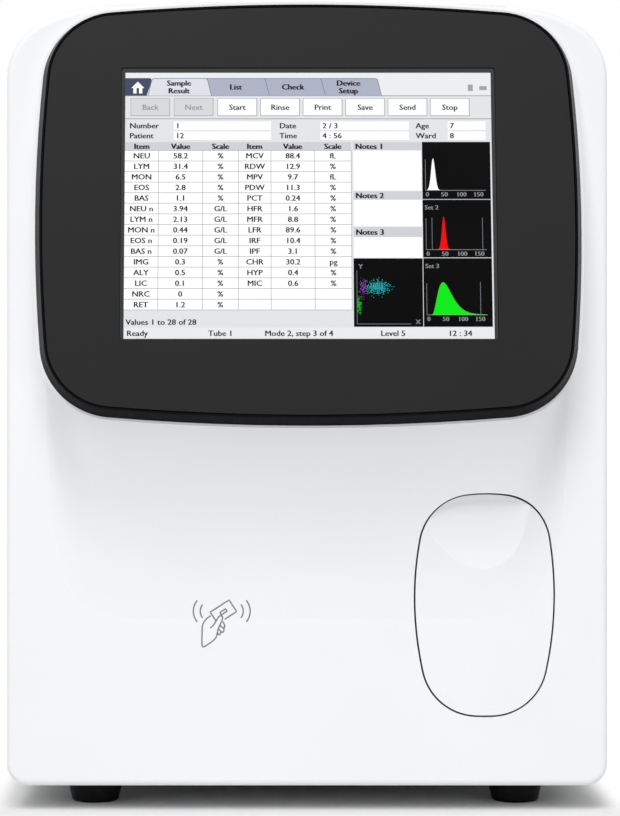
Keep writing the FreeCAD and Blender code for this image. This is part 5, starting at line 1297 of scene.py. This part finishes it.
class COUNTER_OT_symbol(Operator):
    """Print the card symbol on the front cover"""

    bl_idname = "counter.symbol"
    bl_label = "Card symbol"

    def execute(self, context):
        sizes = chosen_sizes()
        low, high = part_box("front_cover")
        middle = np.array([sizes.symbol_x, sizes.symbol_z])
        plane = low.y - sizes.ink_width
        ribbons = [
            ribbon_shape(middle + line * MM, sizes.ink_width, plane) for line in symbol_lines()
        ]
        ink = grained_finish(GREY_INK, sizes.cloud_size)
        printed_piece("card_symbol", ribbons, "front_cover", -1.0, ink, "cabinet")
        return {"FINISHED"}


class COUNTER_OT_marks(Operator):
    """Print the on and off marks on the power rocker"""

    bl_idname = "counter.marks"
    bl_label = "Switch marks"

    def execute(self, context):
        sizes = chosen_sizes()
        ribbons = mark_ribbons(sizes.mark_width)
        ink = grained_finish(WHITE_INK, sizes.cloud_size)
        printed_piece("switch_marks", ribbons, "power_rocker", 1.0, ink, "rocker")
        return {"FINISHED"}


# Stage

WHITE = (1.0, 1.0, 1.0, 1.0)
ORIGIN = (0.0, 0.0, 0.0)
LEVEL = math.radians(90)


def camera_sees(tree):
    """A value of 1 where a ray comes from the camera, a mirror or clear glass."""
    rays = add_node(tree, "ShaderNodeLightPath")
    seen = add_node(tree, "ShaderNodeMath", operation="MAXIMUM")
    through = add_node(tree, "ShaderNodeMath", operation="MAXIMUM")
    wire(
        tree,
        (rays.outputs["Is Camera Ray"], seen.inputs[0]),
        (rays.outputs["Is Glossy Ray"], seen.inputs[1]),
        (seen.outputs[0], through.inputs[0]),
        (rays.outputs["Is Transmission Ray"], through.inputs[1]),
    )
    return through.outputs[0]


def blend_shaders(tree, factor, first, second, leave):
    """Puts out the first shader where the factor is 0 and the second where it is 1."""
    mix = add_node(tree, "ShaderNodeMixShader")
    wire(
        tree,
        (factor, mix.inputs[0]),
        (first.outputs[0], mix.inputs[1]),
        (second.outputs[0], mix.inputs[2]),
        (mix.outputs[0], leave.inputs["Surface"]),
    )


def make_world(strength):
    """Even white light; seen directly or in a mirror it is plain white."""
    world = bpy.data.worlds.new("Pale room")
    world.use_nodes = True
    tree = world.node_tree
    tree.nodes.clear()
    leave = add_node(tree, "ShaderNodeOutputWorld")
    light = add_node(tree, "ShaderNodeBackground", {"Strength": strength, "Color": WHITE})
    white = add_node(tree, "ShaderNodeBackground", {"Strength": 1.0, "Color": WHITE})
    blend_shaders(tree, camera_sees(tree), light, white, leave)
    bpy.context.scene.world = world


def footprint_distance(tree, reach):
    """How far a floor point is outside the object's footprint, from 0 to 1 over the reach.

    The place from the footprint's middle is folded into one quarter, half the footprint is
    taken off it, and the length of what is over zero is the distance.
    """
    low, high = cad_box
    middle = ((low.x + high.x) / 2, (low.y + high.y) / 2, 0.0)
    half = ((high.x - low.x) / 2, (high.y - low.y) / 2, 0.0)
    steps = [("SUBTRACT", middle), ("ABSOLUTE", ORIGIN), ("SUBTRACT", half), ("MAXIMUM", ORIGIN)]
    place = add_node(tree, "ShaderNodeTexCoord").outputs["Object"]
    for operation, other in steps:
        node = add_node(tree, "ShaderNodeVectorMath", {1: other}, operation=operation)
        wire(tree, (place, node.inputs[0]))
        place = node.outputs[0]
    length = add_node(tree, "ShaderNodeVectorMath", operation="LENGTH")
    spread = add_node(
        tree, "ShaderNodeMapRange", {"From Max": reach}, interpolation_type="SMOOTHSTEP"
    )
    wire(tree, (place, length.inputs[0]), (length.outputs["Value"], spread.inputs["Value"]))
    return spread.outputs["Result"]


def floor_material(colour, reach):
    """White where the camera looks past the object, and a matt floor close to it.

    The distance from the object's footprint, over the reach, mixes the matt floor, which
    keeps the shadow, with plain white.
    """
    material = bpy.data.materials.new("Pale floor")
    material.use_nodes = True
    tree = material.node_tree
    tree.nodes.clear()
    leave = add_node(tree, "ShaderNodeOutputMaterial")
    matt = add_node(tree, "ShaderNodeBsdfDiffuse", {"Color": full(colour)})
    white = add_node(tree, "ShaderNodeEmission", {"Strength": 1.0, "Color": WHITE})
    factor = add_node(tree, "ShaderNodeMath", operation="MULTIPLY")
    wire(
        tree,
        (footprint_distance(tree, reach), factor.inputs[0]),
        (camera_sees(tree), factor.inputs[1]),
    )
    blend_shaders(tree, factor.outputs[0], matt, white, leave)
    return material


def place_in_scene(name, data):
    """A new object with its data, linked to the scene."""
    made = bpy.data.objects.new(name, data)
    bpy.context.scene.collection.objects.link(made)
    return made


def make_floor(stage):
    """A wide flat floor at the height of the bench."""
    half = stage.floor_half
    corners = [(-half, -half, 0), (half, -half, 0), (half, half, 0), (-half, half, 0)]
    mesh = bpy.data.meshes.new("floor")
    mesh.from_pydata(corners, [], [(0, 1, 2, 3)])
    mesh.materials.append(floor_material(stage.floor_colour, stage.shadow_reach))
    floor = place_in_scene("floor", mesh)


def make_lamp(stage):
    """A square soft lamp that looks at a point."""
    data = bpy.data.lights.new("key lamp", "AREA")
    data.energy = stage.key_power
    data.size = stage.key_side
    lamp = place_in_scene("key lamp", data)
    lamp.location = stage.key_place
    lamp.rotation_mode = "QUATERNION"
    lamp.rotation_quaternion = (stage.key_place - stage.key_aim).to_track_quat("Z", "Y")
    lamp.visible_camera = False


def make_camera(stage):
    """A level camera straight before the object."""
    data = bpy.data.cameras.new("camera")
    data.lens = stage.lens
    data.sensor_width = stage.sensor
    data.shift_x = stage.shift
    data.clip_end = 2 * stage.floor_half
    camera = place_in_scene("camera", data)
    camera.location = (stage.camera_x, stage.camera_y, stage.camera_height)
    camera.rotation_euler = (LEVEL, 0.0, 0.0)
    bpy.context.scene.camera = camera


class COUNTER_OT_stage(Operator):
    """Set the camera, the lamp, the pale room and the floor"""

    bl_idname = "counter.stage"
    bl_label = "Stage"

    def execute(self, context):
        stage = chosen_stage()
        context.scene.view_settings.view_transform = "Standard"
        make_world(stage.world_light)
        make_floor(stage)
        make_lamp(stage)
        make_camera(stage)
        return {"FINISHED"}


class COUNTER_PT_panel(Panel):
    """Steps and values of the counter"""

    bl_idname = "COUNTER_PT_panel"
    bl_label = "Bench cell counter"
    bl_space_type = "VIEW_3D"
    bl_region_type = "UI"
    bl_category = "Counter"

    def draw(self, context):
        layout = self.layout
        for step in STEPS:
            layout.operator(step.bl_idname)
        for group in (chosen_colours(), chosen_sizes(), chosen_stage()):
            box = layout.box()
            for name in group.__annotations__:
                box.prop(group, name)


STEPS = (
    COUNTER_OT_cabinet,
    COUNTER_OT_pod,
    COUNTER_OT_works,
    COUNTER_OT_picture,
    COUNTER_OT_symbol,
    COUNTER_OT_marks,
    COUNTER_OT_stage,
)
CLASSES = (CounterColours, CounterSizes, CounterStage, *STEPS, COUNTER_PT_panel)


def register():
    """Registers the classes and hangs the value groups on the scene."""
    for each in CLASSES:
        bpy.utils.register_class(each)
    bpy.types.Scene.counter_colours = PointerProperty(type=CounterColours)
    bpy.types.Scene.counter_sizes = PointerProperty(type=CounterSizes)
    bpy.types.Scene.counter_stage = PointerProperty(type=CounterStage)


def unregister():
    """Takes the value groups off the scene and unregisters the classes."""
    del bpy.types.Scene.counter_colours
    del bpy.types.Scene.counter_sizes
    del bpy.types.Scene.counter_stage
    for each in reversed(CLASSES):
        bpy.utils.unregister_class(each)


def main():
    """Registers the add-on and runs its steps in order."""
    register()
    bpy.ops.counter.cabinet()
    bpy.ops.counter.pod()
    bpy.ops.counter.works()
    bpy.ops.counter.picture()
    bpy.ops.counter.symbol()
    bpy.ops.counter.marks()
    bpy.ops.counter.stage()


if __name__ == "__main__":
    main()
